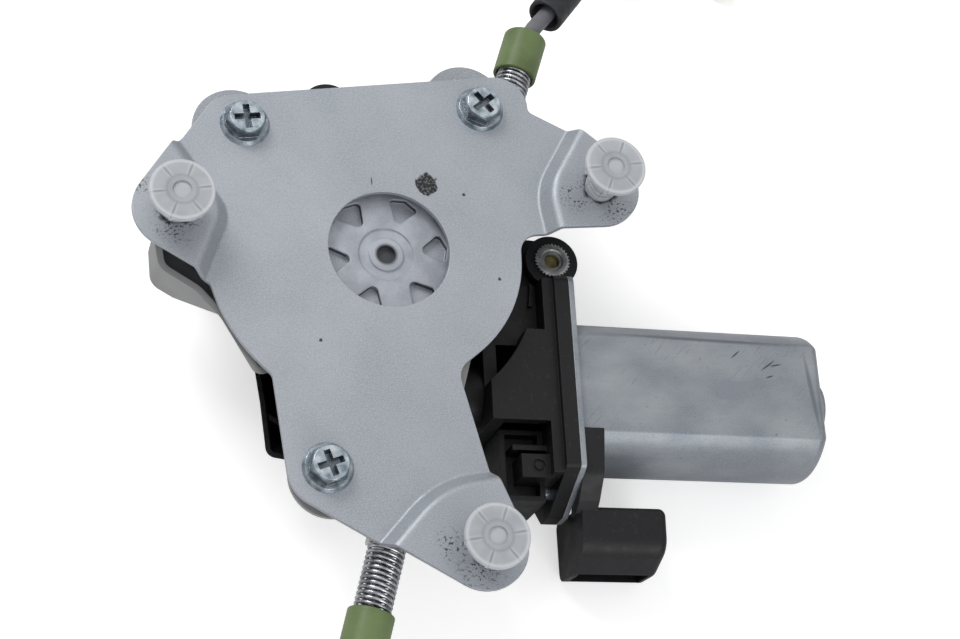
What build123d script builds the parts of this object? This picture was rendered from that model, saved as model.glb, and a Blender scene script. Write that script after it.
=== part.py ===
from build123d import *
import math
import os

os.makedirs("parts", exist_ok=True)

# Window regulator drive unit, in millimetres.
# Origin: on the cable drum's axis, in the plane where the three ears meet the door panel.
# +Z points to the door panel, +X runs along the motor, +Y points up in the door.

# Clearances
GAP = 0.3  # between pieces that move past each other
RUN_FIT = 0.05  # radial play of a shaft in its bearing
SCREW_PLAY = 0.25  # radial play of a screw in its hole

# Mounting plate
PLATE_T = 1.5
EAR_RAISE = 5.0
BEND_TAPER = 32.0  # degrees that the step of an ear leans from upright
BEND_R = 1.2  # inside radius of each bend
PLATE_FRONT = -EAR_RAISE
PLATE_BACK = PLATE_FRONT - PLATE_T
PLATE_HOLE_R = 17.5
PLATE_WAIST_R = 38.5  # edge beside the motor, about the drum axis
PLATE_FLANK_R = 51.4  # edge on the other side, about the drum axis
SEAT_LEFT = (-40.4, 35.6)
SEAT_RIGHT = (28.6, 46.2)
SEAT_LOW = (-19.1, -64.7)
SEAT_LOW_R = 11.0  # plate corner about the low screw
EAR_LEFT = (-60.0, 6.0)
EAR_RIGHT = (62.0, 21.4)
EAR_LOW = (21.9, -86.8)
EAR_R = 12.0

# Plate screws, M6 with flange
M6_R = 3.0
M6_FLANGE_R = 7.1
M6_FLANGE_T = 1.3
M6_HEX = 10.0
M6_HEAD_H = 4.8
M6_RECESS = (5.6, 1.4, 2.2)  # cross recess: length, width, depth

# Push clips in the ears
CLIP_STEM_R = 4.5
CLIP_CAP_R = 8.9
CLIP_CAP_T = 1.4
CLIP_CAP_Z = 10.2
CLIP_RIB_COUNT = 6
CLIP_BARB_R = 5.3
CLIP_TAIL = 4.2

# Backing plate
BACK_T = 1.2
LOBE_R = 12.0
LOBE_LEFT = (-43.0, 34.7)
LOBE_RIGHT = (24.7, 48.6)
SEAT_LOW_LOBE = (-17.4, -65.6)

# Cable drum
CABLE_R = 0.9
DRUM_FACE_DROP = 4.0  # drum face behind the plate's front
DRUM_H = 11.0
GROOVE_R = 19.9  # bottom of the cable grooves
DRUM_R = 22.2
GROOVE_PITCH = 2.0
RIM_T = 1.2  # drum flange at its edge
GROOVE_TURNS = 3
ARM_COUNT = 6
POCKET_DEPTH = 2.0
HUB_R = 5.0
HUB_DIMPLE_R = 2.6
SHAFT_R = 4.0

# Drum housing
HOUSING_WALL = 1.8
HOUSING_FLOOR = 2.0
HOUSING_LIP_DROP = 4.0  # rim of the side pocket behind the plate's front
SOCKET_L = 16.0
SOCKET_HALF_W = 7.5

# Worm drive
WHEEL_TEETH = 72
WHEEL_PITCH_R = 28.0
WHEEL_T = 8.0
WORM_PITCH_R = 5.0
WORM_TIP = 0.75
WORM_ROOT = 0.95
WORM_TURNS = 9  # odd, so that a crest faces the wheel at the middle
THRUST_END = -22.0  # end of the armature shaft beyond the worm
BEARING_FROM = 24.0
BEARING_L = 6.0
TOOTH_PLAY = 0.25
AXIS_GAP = WHEEL_PITCH_R + WORM_PITCH_R
WORM_PITCH = 2 * math.pi * WHEEL_PITCH_R / WHEEL_TEETH
WORM_HALF = WORM_TURNS * WORM_PITCH / 2

# Gearbox housing
GEARBOX_WALL = 2.5
GEARBOX_DEPTH = 18.0  # inside the wheel chamber
COVER_T = 2.0
CHAMBER_PLAY = 1.95  # beyond the wheel's teeth
TUNNEL_R = 6.6
TRAY_WALL = 1.4
LUG_R = 8.0
LUG_PLACES = ((52.8, 6.2), (-13.0, 53.4), (-47.5, 15.0))
INSERT_R = 4.9
INSERT_BORE_R = 2.35
BELL_START = 30.5  # where the brush chamber begins along the motor
BELL_FACE_R = 45.5  # hollow in the brush chamber's face, about the drum axis
BELL_TOP = -17.7
BELL_BOTTOM = -45.3
STRIP_T = 3.2  # rib beside the flange
FLANGE_T = 4.3
FLANGE_PROUD = 2.0  # flange front before the flat of the can

# Motor
YOKE_R = 22.3
YOKE_HALF_T = 17.0  # half the thickness over the flats
YOKE_SHEET = 1.6
YOKE_FROM = 54.9
YOKE_TO = 133.0
FLAT_ROUND = 2.0  # rounding between a flat and the round side of the can
YOKE_EAR = 28.0  # screw to motor axis
DOME_R = 9.0
DOME_H = 4.6
AIR_GAP = 0.6  # between a magnet and the armature
ARMATURE_SHAFT_R = 2.5
CORE_FROM = 22.0  # from the can's mouth
CORE_LENGTH = 34.0
WINDING_L = 7.0
CORE_SLOTS = 8
COMMUTATOR_R = 7.0
M5_R = 2.5

# Connector
CONNECTOR_FROM = 58.0
CONNECTOR_L = 25.9
CONNECTOR_WALL = 1.8
STRAP_W = 6.2
PIN_SIZE = (0.8, 2.8, 9.0)

# Cable exits, springs, sleeves and conduits
UPPER_HEADING = 71.7  # degrees from +X
LOWER_HEADING = 254.6
UPPER_REACH = 73.5  # from leaving the drum to the sleeve's inner end
LOWER_REACH = 99.5
SPRING_R = 5.3
SPRING_WIRE_R = 0.7
SPRING_PITCH = 2.0
SPRING_L = 23.5
SLEEVE_R = 6.5
SLEEVE_L = 14.3
SLEEVE_CUP = 4.0
CONDUIT_R = 2.5
RATTLE_R = 5.75
RATTLE_BORE_R = 4.4
RATTLE_FROM = 8.5  # along the conduit's second run
RATTLE_TO = 24.0  # along its third
COIL_R = 28.0
COIL_TAIL = 24.0
FERRULE_R = 3.6
FERRULE_L = 14.0
CABLE_TAIL = 16.0
NIPPLE_R = 3.5
NIPPLE_L = 7.0

# Levels that follow from the sizes above
BACKING_REAR = PLATE_BACK - BACK_T
DRUM_TOP = PLATE_FRONT - DRUM_FACE_DROP
DRUM_LOW = DRUM_TOP - DRUM_H
HOUSING_TOP_OF_FLOOR = DRUM_LOW - 0.5
HOUSING_LOW = HOUSING_TOP_OF_FLOOR - HOUSING_FLOOR
COVER_LOW = HOUSING_LOW - COVER_T
CHAMBER_LOW = COVER_LOW - GEARBOX_DEPTH
GEARBOX_LOW = CHAMBER_LOW - GEARBOX_WALL
CABLE_Z = DRUM_TOP - DRUM_H / 2
WHEEL_Z = PLATE_FRONT - 27.0
MOTOR_Y = -AXIS_GAP
CABLE_RADIUS = GROOVE_R + CABLE_R
FLOOR_Z = WHEEL_Z - YOKE_HALF_T
WHEEL_TIP_R = WHEEL_PITCH_R + WORM_ROOT - 0.3
CHAMBER_R = WHEEL_TIP_R + CHAMBER_PLAY
CORE_R = YOKE_HALF_T - YOKE_SHEET - GAP  # the armature just passes the can's flats
MAGNET_T = YOKE_R - YOKE_SHEET - AIR_GAP - CORE_R


# Small helpers
def slab(sketch, low, high):
    """A flat outline as a solid between two levels."""
    return extrude(Pos(0, 0, low) * sketch, amount=high - low)


def disc(radius, low, high, at=(0, 0)):
    """An upright cylinder between two levels."""
    return Pos(at[0], at[1], (low + high) / 2) * Cylinder(radius, high - low)


def rod(radius, start, end):
    """A cylinder along X."""
    return Pos((start + end) / 2, 0, 0) * Rot(0, 90, 0) * Cylinder(radius, end - start)


def outline(*corners):
    """A closed flat shape from (x, y, corner radius) points."""
    points = [(x, y) for x, y, _ in corners]
    return make_face(FilletPolyline(*points, radius=[r for _, _, r in corners], close=True))


def tangent_corner(before, after, centre, radius):
    """The corner whose rounding of that radius lies about the centre, going clockwise."""

    def heading(start, side):
        dx, dy = centre[0] - start[0], centre[1] - start[1]
        return math.atan2(dy, dx) + side * math.asin(radius / math.hypot(dx, dy))

    a, b = heading(before, 1), heading(after, -1)
    ux, uy, vx, vy = math.cos(a), math.sin(a), math.cos(b), math.sin(b)
    across = ux * vy - uy * vx
    t = ((after[0] - before[0]) * vy - (after[1] - before[1]) * vx) / across
    return (before[0] + t * ux, before[1] + t * uy, radius)


def arc_corner(radius, start, end):
    """The corner whose rounding is an arc about the drum axis between two angles."""
    middle, half = math.radians((start + end) / 2), math.radians(abs(end - start) / 2)
    reach = radius / math.cos(half)
    return (reach * math.cos(middle), reach * math.sin(middle), radius)


def save(**nodes):
    """Write each named node."""
    for name, shape in nodes.items():
        export_step(shape, f"parts/{name}.step")


# Mounting plate
def plate_outline():
    """The whole plate seen from the door, ears included, clockwise from the upper left."""
    waist = (38.5, 6.9)
    throat = (18.1, -35.1)
    hip = (25.4, -64.0)
    flank = (-33.5, -39.0)
    notch = (-50.2, -13.5)
    brow = (-61.2, 26.2)
    shoulder = (57.5, 40.2)
    return outline(
        (-48.8, 43.6, 10.0),
        (43.3, 59.0, 9.2),
        (43.3, 46.8, 2.0),
        (*shoulder, 3.0),
        tangent_corner(shoulder, waist, EAR_RIGHT, EAR_R),
        (*waist, 6.0),
        arc_corner(PLATE_WAIST_R, 0, -50),
        (*throat, 6.0),
        (*hip, 15.0),
        tangent_corner(hip, (-20.0, -77.4), EAR_LOW, EAR_R),
        tangent_corner((-5.2, -84.6), flank, SEAT_LOW, SEAT_LOW_R),
        (*flank, 3.0),
        arc_corner(PLATE_FLANK_R, 229, 197),
        (*notch, 2.0),
        tangent_corner(notch, brow, EAR_LEFT, EAR_R),
        (*brow, 1.5),
        (-57.8, 29.6, 1.0),
    )


def ear_region(start, corner, end, bend_r, ear):
    """The part of the plane that one ear's step lifts, bounded by its bend line."""
    out = Vector(ear[0] - corner[0], ear[1] - corner[1]).normalized() * 70
    far_end = (end[0] + out.X, end[1] + out.Y, 0)
    far_start = (start[0] + out.X, start[1] + out.Y, 0)
    return outline((*start, 0), (*corner, bend_r), (*end, 0), far_end, far_start)


EARS = (
    ear_region((59.5, 49.5), (44.0, 21.5), (48.6, -6.0), 20.0, EAR_RIGHT),
    ear_region((-53.5, -18.5), (-44.3, 7.5), (-66.0, 38.5), 10.5, EAR_LEFT),
    ear_region((38.0, -62.2), (10.0, -67.2), (-14.0, -95.0), 30.0, EAR_LOW),
)


def stepped(level, inset, foot_r, top_r):
    """Everything below a surface that is flat at a level and lifted over the three ears."""
    body = slab(Rectangle(400, 400), level - 30, level)
    for region in EARS:
        inner = offset(region, amount=-inset) if inset else region
        body += extrude(Pos(0, 0, level) * inner, amount=EAR_RAISE, taper=BEND_TAPER)
    top_edges = body.edges().filter_by_position(Axis.Z, level + EAR_RAISE - 0.1, level + EAR_RAISE + 0.1)
    body = fillet(top_edges, top_r)
    foot_edges = body.edges().filter_by_position(Axis.Z, level - 0.1, level + 0.1)
    outer = [edge for edge in foot_edges if edge.length > 300]
    return fillet([edge for edge in foot_edges if edge not in outer], foot_r)


def mounting_plate():
    lean = math.radians(BEND_TAPER)
    inset = PLATE_T * (1 / math.cos(lean) - math.tan(lean))
    front = stepped(PLATE_FRONT, 0, BEND_R, BEND_R + PLATE_T)
    sheet = front - stepped(PLATE_BACK, inset, BEND_R + PLATE_T, BEND_R)
    plate = sheet & slab(plate_outline(), PLATE_BACK - 1, EAR_RAISE)
    plate -= disc(PLATE_HOLE_R, PLATE_BACK - 1, PLATE_FRONT + 1)
    for seat in (SEAT_LEFT, SEAT_RIGHT, SEAT_LOW):
        plate -= disc(M6_R + SCREW_PLAY, PLATE_BACK - 1, PLATE_FRONT + 1, seat)
    for ear in (EAR_LEFT, EAR_RIGHT, EAR_LOW):
        plate -= disc(CLIP_STEM_R + SCREW_PLAY, -PLATE_T - 1, 1, ear)
    return plate


# Plate screws
def flange_screw(at, turn):
    hexagon = RegularPolygon(M6_HEX / 2, 6, major_radius=False)
    flange_top = PLATE_FRONT + M6_FLANGE_T
    head_top = PLATE_FRONT + M6_HEAD_H
    head = Pos(0, 0, flange_top) * extrude(hexagon, amount=M6_HEAD_H - M6_FLANGE_T)
    head &= Pos(0, 0, head_top - 4) * Cone(M6_HEX / 2 + 4.6, M6_HEX / 2 - 0.2, 8)
    flange = Pos(0, 0, PLATE_FRONT + M6_FLANGE_T / 2) * Cone(
        M6_FLANGE_R, M6_FLANGE_R - 0.7, M6_FLANGE_T
    )
    shank = disc(M6_R, HOUSING_LOW + 1, PLATE_FRONT + 0.5)
    length, width, depth = M6_RECESS
    slot = Pos(0, 0, head_top - depth / 2) * Box(length, width, depth + 0.01)
    screw = head + flange + shank - slot - Rot(0, 0, 90) * slot
    return Pos(at[0], at[1], 0) * Rot(0, 0, turn) * screw


# Push clips
def push_clip(ear):
    """A nylon stem through the ear, a thin cap on ribs above it and a barbed tail behind."""
    tail = -PLATE_T - CLIP_TAIL
    top = CLIP_CAP_Z + CLIP_CAP_T
    clip = disc(CLIP_STEM_R, tail, top - 0.2)
    clip += disc(CLIP_CAP_R, CLIP_CAP_Z, top)
    for angle in range(0, 360, 360 // CLIP_RIB_COUNT):
        rib = Pos(CLIP_CAP_R / 2 + 1.6, 0, CLIP_CAP_Z - 0.9) * Box(CLIP_CAP_R - 4, 0.8, 1.8)
        clip += Rot(0, 0, angle + 10) * rib
    clip = fillet(clip.faces().sort_by(Axis.Z)[-1].edges(), 0.4)
    clip -= disc(2.6, top - 0.6, top + 1)
    for level in (2.2, 4.2, 6.2):
        clip += disc(CLIP_STEM_R + 0.35, level, level + 0.7)
    barb = Pos(0, 0, -PLATE_T - GAP - 1.6) * Cone(CLIP_STEM_R - 0.5, CLIP_BARB_R, 3.2)
    clip += barb
    clip -= disc(CLIP_STEM_R - 1.8, tail - 1, 3)
    clip -= Pos(0, 0, tail) * Box(20, 1.2, 2 * (CLIP_TAIL - GAP))
    return Pos(ear[0], ear[1], 0) * clip


# Backing plate
def backing_plate():
    """A thin plate behind the mounting plate, with a lobe under each upper screw."""
    ring = Circle(PLATE_HOLE_R + 9)
    shape = ring
    for lobe in (LOBE_LEFT, LOBE_RIGHT):
        shape += make_hull([ring.edge(), (Pos(*lobe) * Circle(LOBE_R)).edge()])
    shape -= Circle(PLATE_HOLE_R + 2)
    plate = slab(shape, BACKING_REAR, PLATE_BACK)
    for seat in (SEAT_LEFT, SEAT_RIGHT):
        plate -= disc(M6_R + SCREW_PLAY, BACKING_REAR - 1, PLATE_BACK + 1, seat)
    return plate


# Cable lines
def cable_place(heading, side):
    """Where a cable leaves the drum, with local X along the cable and local Z up."""
    at = math.radians(heading + side * 90)
    start = (CABLE_RADIUS * math.cos(at), CABLE_RADIUS * math.sin(at), CABLE_Z)
    along = (math.cos(math.radians(heading)), math.sin(math.radians(heading)), 0)
    return Plane(origin=start, x_dir=along, z_dir=(0, 0, 1)).location


UPPER = cable_place(UPPER_HEADING, -1)
LOWER = cable_place(LOWER_HEADING, 1)
SPRING_SEAT = SLEEVE_CUP - SPRING_L  # socket mouth, from the sleeve's inner end


def socket_plan(mouth):
    """The nose that the spring stands on, seen along the drum's axis."""
    foot, step = mouth - SOCKET_L, mouth - 7.0
    return outline(
        (foot, -SOCKET_HALF_W, 0),
        (foot, SOCKET_HALF_W, 0),
        (step, SOCKET_HALF_W, 1.5),
        (step + 1.5, SPRING_R, 0.8),
        (mouth, SPRING_R, 0.6),
        (mouth, -SPRING_R, 0.6),
        (step + 1.5, -SPRING_R, 0.8),
        (step, -SOCKET_HALF_W, 1.5),
    )


def socket_body(place, mouth):
    """The moulded nose itself, bored for the cable and notched round the screw beside it."""
    depth = CABLE_Z - HOUSING_TOP_OF_FLOOR
    body = place * (slab(socket_plan(mouth), -depth, depth) - rod(CABLE_R + GAP, mouth - 20, mouth + 1))
    return body - disc(M6_R + SCREW_PLAY + GAP, HOUSING_LOW, PLATE_FRONT, SEAT_RIGHT)


def spring(mouth):
    """An open coil standing on the socket's mouth."""
    start, end = mouth + SPRING_WIRE_R, mouth + SPRING_L - SPRING_WIRE_R
    coil = Helix(SPRING_PITCH, end - start, SPRING_R - SPRING_WIRE_R)
    wire = Plane(origin=coil @ 0, z_dir=coil % 0) * Circle(SPRING_WIRE_R)
    return Pos(start, 0, 0) * Rot(0, 90, 0) * sweep(wire, path=coil, is_frenet=True)


def sleeve(inner_end):
    """A cup over the spring's end that also holds the conduit."""
    end = inner_end + SLEEVE_L
    body = rod(SLEEVE_R, inner_end, end)
    body = fillet(body.edges().filter_by(GeomType.CIRCLE), 0.5)
    body -= rod(SPRING_R + GAP, inner_end - 1, inner_end + SLEEVE_CUP)
    return body - rod(CONDUIT_R + GAP, inner_end, end + 1)


def cable_span(length):
    """The bare cable along X, from just clear of the turns on the drum."""
    clear = math.sqrt((CABLE_RADIUS + 2 * CABLE_R + GAP) ** 2 - CABLE_RADIUS**2)
    return rod(CABLE_R, clear, length)


# Drum housing
def drum_chamber(radius):
    """The round space of the drum, widened where each cable leaves it."""
    shape = Circle(radius)
    for place in (UPPER, LOWER):
        spot = Plane(place).origin
        shape += Pos(spot.X, spot.Y) * Circle(radius - CABLE_RADIUS + 2)
    return shape


def side_pocket(wall):
    """The scoop on the side away from the motor, which leans inwards from its rim."""
    foot = outline(
        (-20, 6, 0), (-65.2, 6, 4), (-64.4, -7.5, 5), (-58.0, -11.2, 6), (-44.5, -15.8, 3),
        (-34, -20, 3), (-20, -22, 0),
    )
    rim = outline(
        (-20, 6, 0), (-65.8, 6, 4), (-63.6, -8.2, 5), (-53.5, -14.4, 6), (-46.8, -21.9, 8),
        (-37.4, -38.2, 3), (-20, -33, 0),
    )
    low = HOUSING_LOW + (wall and HOUSING_FLOOR)
    high = PLATE_FRONT - HOUSING_LIP_DROP
    if wall:
        foot, rim = offset(foot, amount=-wall), offset(rim, amount=-wall)
    return loft([Pos(0, 0, low) * foot, Pos(0, 0, high + wall / 10) * rim])


def cable_channel(place, mouth):
    """The walls that hold one cable's socket, open towards the plate."""
    end, half = mouth - SOCKET_L / 2 - 1, SOCKET_HALF_W + HOUSING_WALL
    outside = Pos((end + 8) / 2, 0, (HOUSING_LOW + BACKING_REAR) / 2 - CABLE_Z) * Box(
        end - 8, 2 * half, BACKING_REAR - HOUSING_LOW
    )
    return place * outside


def channel_room(place, mouth):
    """What the socket, the spring and the bare cable take out of the housing."""
    depth = CABLE_Z - HOUSING_TOP_OF_FLOOR
    room = slab(socket_plan(mouth), -depth, depth + 5)
    room += Pos((mouth - SOCKET_L) / 2, 0, 4) * Box(mouth - SOCKET_L + 2, 7, 2 * depth)
    room += rod(SPRING_R + GAP, mouth - 0.01, mouth + SPRING_L)
    return place * room


def drum_housing():
    """The moulded cup round the drum, with seats for the screws and both cable exits."""
    exits = ((UPPER, UPPER_REACH + SPRING_SEAT), (LOWER, LOWER_REACH + SPRING_SEAT))
    body = slab(Circle(DRUM_R + 1 + HOUSING_WALL), HOUSING_LOW, BACKING_REAR)
    for place, mouth in exits:
        body += cable_channel(place, mouth)
    for seat, seat_r in ((SEAT_LEFT, 9.0), (SEAT_RIGHT, 9.0), (SEAT_LOW, 8.0)):
        web = make_hull([Circle(seat_r).edge(), (Pos(*seat) * Circle(seat_r)).edge()])
        top = PLATE_BACK if seat == SEAT_LOW else BACKING_REAR
        body += slab(web, HOUSING_LOW + 4, top - 2.2)
        body += disc(seat_r - 1, HOUSING_LOW + 4, top, seat)
    body += disc(LOBE_R - 0.2, PLATE_BACK - 3.6, PLATE_BACK - 2.2, SEAT_LOW_LOBE)
    body += side_pocket(0)
    body -= side_pocket(HOUSING_WALL)
    body -= slab(drum_chamber(DRUM_R + 1), HOUSING_TOP_OF_FLOOR, PLATE_FRONT)
    for place, mouth in exits:
        body -= channel_room(place, mouth)
    for seat in (SEAT_LEFT, SEAT_RIGHT, SEAT_LOW):
        body -= disc(M6_R + SCREW_PLAY, HOUSING_LOW - 1, PLATE_FRONT, seat)
    return body - disc(HUB_R + 5, HOUSING_LOW - 1, PLATE_FRONT)


# Cable drum
def drum_pocket():
    """One rounded hollow between two arms, open to the rim."""
    return outline((9.4, 0, 1.6), (16.6, 4.6, 1.2), (18.2, 0, 0), (16.6, -4.6, 1.2))


def cable_drum():
    profile = make_face(
        Polyline(
            (0, DRUM_LOW),
            (DRUM_R, DRUM_LOW),
            (DRUM_R, DRUM_LOW + RIM_T),
            (GROOVE_R, DRUM_LOW + RIM_T + 0.3),
            (GROOVE_R, DRUM_TOP - RIM_T - 0.3),
            (DRUM_R, DRUM_TOP - RIM_T),
            (DRUM_R, DRUM_TOP),
            (0, DRUM_TOP),
            close=True,
        )
    )
    drum = revolve(Plane.XZ * profile, Axis.Z)
    for number in range(ARM_COUNT):
        pocket = slab(drum_pocket(), DRUM_TOP - POCKET_DEPTH, DRUM_TOP + 1)
        drum -= Rot(0, 0, 10 + number * 360 / ARM_COUNT) * pocket
    drum -= disc(HUB_R + 3, DRUM_TOP - 0.5, DRUM_TOP + 1) - disc(HUB_R, DRUM_TOP - 1, DRUM_TOP + 1)
    drum -= disc(HUB_DIMPLE_R, DRUM_TOP - 1.6, DRUM_TOP + 1)
    drum -= disc(SHAFT_R + RUN_FIT, DRUM_LOW - 1, DRUM_TOP - 2.6)
    return drum - dog_star(GAP / 3, DRUM_LOW - 1, DRUM_LOW + 4)


def dog_star(play, low, high):
    """The toothed nose of the drive dog, or its socket with play all round."""
    star = Circle(7.0 + play)
    for number in range(ARM_COUNT):
        star += Rot(0, 0, number * 360 / ARM_COUNT) * Pos(7.5, 0) * Circle(1.6 + play)
    return slab(star, low, high)


def wound_cable():
    """The turns of cable that lie in the drum's groove."""
    height = GROOVE_TURNS * GROOVE_PITCH
    path = Helix(GROOVE_PITCH, height, CABLE_RADIUS + 0.02)
    wire = Plane(origin=path @ 0, z_dir=path % 0) * Circle(CABLE_R)
    return Pos(0, 0, CABLE_Z - height / 2) * sweep(wire, path=path, is_frenet=True)


# Worm drive
def worm_wheel():
    root = WHEEL_PITCH_R - WORM_TIP - 0.2
    half_root = WORM_PITCH / 4 + 0.1 - TOOTH_PLAY / 2
    half_tip = WORM_PITCH / 4 - 0.15 - TOOTH_PLAY
    tooth = make_face(
        Polyline(
            (root - 0.5, half_root), (root, half_root), (WHEEL_TIP_R, half_tip),
            (WHEEL_TIP_R, -half_tip), (root, -half_root), (root - 0.5, -half_root),
            close=True,
        )
    )
    step = 360 / WHEEL_TEETH
    lead = math.degrees(math.atan(WORM_PITCH / (2 * math.pi * WORM_PITCH_R)))
    low, high = WHEEL_Z - WHEEL_T / 2, WHEEL_Z + WHEEL_T / 2
    leaning = Rot(-lead, 0, 0) * slab(tooth, -WHEEL_T / 2, WHEEL_T / 2)
    wheel = disc(root, low, high)
    wheel += [Pos(0, 0, WHEEL_Z) * Rot(0, 0, -90 + (n + 0.5) * step) * leaning for n in range(WHEEL_TEETH)]
    wheel -= disc(22.5, low + 1.5, high + 1)
    wheel += disc(SHAFT_R + 3, low, high)
    for number in range(3):
        paddle = Pos(13.5, 0, (low + high) / 2) * Box(18, 3, WHEEL_T)
        wheel += Rot(0, 0, number * 120) * paddle
    return wheel - disc(SHAFT_R + RUN_FIT, low - 1, high + 1)


def damper():
    """Three rubber cushions between the wheel's paddles, each slit for a blade of the dog."""
    low, high = WHEEL_Z - WHEEL_T / 2 + 1.5 + GAP, WHEEL_Z + WHEEL_T / 2 - 0.5
    cushion = slab(Circle(21.5) - Circle(SHAFT_R + 4), low, high)
    for number in range(3):
        gap = Pos(15, 0, (low + high) / 2) * Box(24, 3 + 2 * GAP, WHEEL_T)
        cushion -= Rot(0, 0, number * 120) * gap
        slit = Pos(15, 0, high - 2) * Box(24, 2.5 + 2 * GAP, 4.01)
        cushion -= Rot(0, 0, 60 + number * 120) * slit
    return cushion


def drive_dog():
    """The disc that the damper pushes, with the toothed nose that turns the drum."""
    low = WHEEL_Z + WHEEL_T / 2 + GAP
    dog = disc(21.5, low, low + 1.6) + disc(8.5, low, HOUSING_TOP_OF_FLOOR)
    for number in range(3):
        blade = Pos(15, 0, low - 1.8) * Box(13, 2.5, 3.7)
        dog += Rot(0, 0, 60 + number * 120) * blade
    dog += dog_star(0, HOUSING_TOP_OF_FLOOR, DRUM_LOW + 4 - GAP)
    return dog - disc(SHAFT_R + RUN_FIT, low - 5, DRUM_TOP)


def shaft_pin():
    return disc(SHAFT_R, GEARBOX_LOW + 0.8, DRUM_TOP - 2.6 - GAP)


def on_motor(shape):
    """Place a shape made along X on the motor's axis."""
    return Pos(0, MOTOR_Y, WHEEL_Z) * shape


def worm():
    """A single-start thread; its middle crest faces a gap of the wheel at x = 0."""
    path = Helix(WORM_PITCH, 2 * WORM_HALF, WORM_PITCH_R - WORM_ROOT)
    crest, foot = WORM_PITCH / 4 - 0.3, WORM_PITCH / 4 + 0.1
    rise = WORM_TIP + WORM_ROOT
    profile = make_face(Polyline((-0.4, foot), (rise, crest), (rise, -crest), (-0.4, -foot), close=True))
    section = Plane(origin=path @ 0, x_dir=(1, 0, 0), z_dir=(0, 1, 0)) * profile
    thread = Rot(0, 90, 0) * sweep(section, path=path, is_frenet=True)
    core = rod(WORM_PITCH_R - WORM_ROOT, -WORM_HALF - 1.5, WORM_HALF + 1.5)
    turned = Rot(-90, 0, 0) * Pos(-WORM_HALF, 0, 0) * thread
    return on_motor(turned + core - rod(ARMATURE_SHAFT_R, -50, 50))


def armature_shaft():
    return on_motor(rod(ARMATURE_SHAFT_R, THRUST_END, YOKE_TO + DOME_H - YOKE_SHEET - 0.6))


def armature_core():
    section = Circle(CORE_R)
    for number in range(CORE_SLOTS):
        slot = Pos(CORE_R - 4, 0) * Circle(2.6) + Pos(CORE_R, 0) * Rectangle(8, 1.2)
        section -= Rot(0, 0, number * 360 / CORE_SLOTS) * slot
    core = Rot(0, 90, 0) * extrude(section, amount=CORE_LENGTH)
    return on_motor(Pos(YOKE_FROM + CORE_FROM, 0, 0) * core - rod(ARMATURE_SHAFT_R, 0, YOKE_TO))


def armature_windings():
    """The end turns of the windings, a rounded ring on each side of the core."""
    core_start = YOKE_FROM + CORE_FROM
    rings = []
    for start in (core_start - WINDING_L, core_start + CORE_LENGTH):
        ring = rod(CORE_R - 2, start, start + WINDING_L) - rod(ARMATURE_SHAFT_R + 2, 0, YOKE_TO)
        outer_edges = ring.edges().filter_by(GeomType.CIRCLE).sort_by(SortBy.RADIUS)[-2:]
        rings.append(on_motor(fillet(outer_edges, 2.0)))
    return Compound(children=rings)


def commutator():
    start = YOKE_FROM + 1
    body = rod(COMMUTATOR_R, start, start + 12)
    for number in range(CORE_SLOTS):
        body -= Rot(number * 360 / CORE_SLOTS, 0, 0) * Pos(start + 5, 0, COMMUTATOR_R) * Box(16, 0.5, 1.2)
    return on_motor(body - rod(ARMATURE_SHAFT_R, 0, YOKE_TO))


# Motor
def double_d(radius, half_thickness):
    """A round section with two flats, drawn with its first axis along Z."""
    section = Circle(radius) & Rectangle(2 * half_thickness, 3 * radius)
    return fillet(section.vertices(), FLAT_ROUND)


def flange_outline():
    """The flange seen along the motor, as (y, z) points, with its lower corner cut back."""
    front, back = WHEEL_Z + YOKE_HALF_T + FLANGE_PROUD, FLOOR_Z
    return outline(
        (-0.6, front, 3), (-59.0, front, 2), (-68.6, WHEEL_Z - 1, 2), (-68.6, back + 9, 2),
        (-60.0, back, 3), (-0.6, back, 3),
    )


def along_motor(section, start, end):
    """A solid with a (y, z) section between two places along X."""
    facing_motor = Plane(origin=(start, 0, 0), x_dir=(0, 1, 0), z_dir=(1, 0, 0))
    return extrude(facing_motor * section, amount=end - start)


def motor_yoke():
    """A deep-drawn can with two flats, a bearing dome at its end and a screw flange."""
    length = YOKE_TO - YOKE_FROM
    can = Rot(0, 90, 0) * extrude(double_d(YOKE_R, YOKE_HALF_T), amount=length)
    can = fillet(can.faces().sort_by(Axis.X)[-1].edges(), 3.0)
    can += rod(DOME_R, length - 1, length + DOME_H)
    can = fillet(can.faces().sort_by(Axis.X)[-1].edges(), 1.6)
    flange = along_motor(flange_outline(), YOKE_FROM, YOKE_FROM + YOKE_SHEET)
    can += Pos(-YOKE_FROM, -MOTOR_Y, -WHEEL_Z) * flange
    inside = double_d(YOKE_R - YOKE_SHEET, YOKE_HALF_T - YOKE_SHEET)
    can -= Rot(0, 90, 0) * extrude(inside, amount=length - YOKE_SHEET)
    can -= rod(DOME_R - YOKE_SHEET, 0, length + DOME_H - YOKE_SHEET)
    for side in (-1, 1):
        can -= Pos(0, side * YOKE_EAR, 0) * rod(M5_R + SCREW_PLAY, -1, YOKE_SHEET + 1)
    return on_motor(Pos(YOKE_FROM, 0, 0) * can)


def magnets():
    """Two arc magnets on the round sides of the can."""
    outer = YOKE_R - YOKE_SHEET
    arc = Circle(outer) - Circle(outer - MAGNET_T)
    arc &= Rectangle(2 * (YOKE_HALF_T - YOKE_SHEET) - 6, 3 * outer)
    solid = Rot(0, 90, 0) * extrude(arc, amount=CORE_LENGTH + 8)
    solid = on_motor(Pos(YOKE_FROM + CORE_FROM - 4, 0, 0) * solid)
    return Compound(children=list(solid.solids()))


def rear_bearing():
    outer = DOME_R - YOKE_SHEET
    end = YOKE_TO + DOME_H - YOKE_SHEET
    bore = rod(ARMATURE_SHAFT_R + RUN_FIT, end - BEARING_L - 1, end + 1)
    return on_motor(rod(outer, end - BEARING_L, end - 0.4) - bore)


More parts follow.
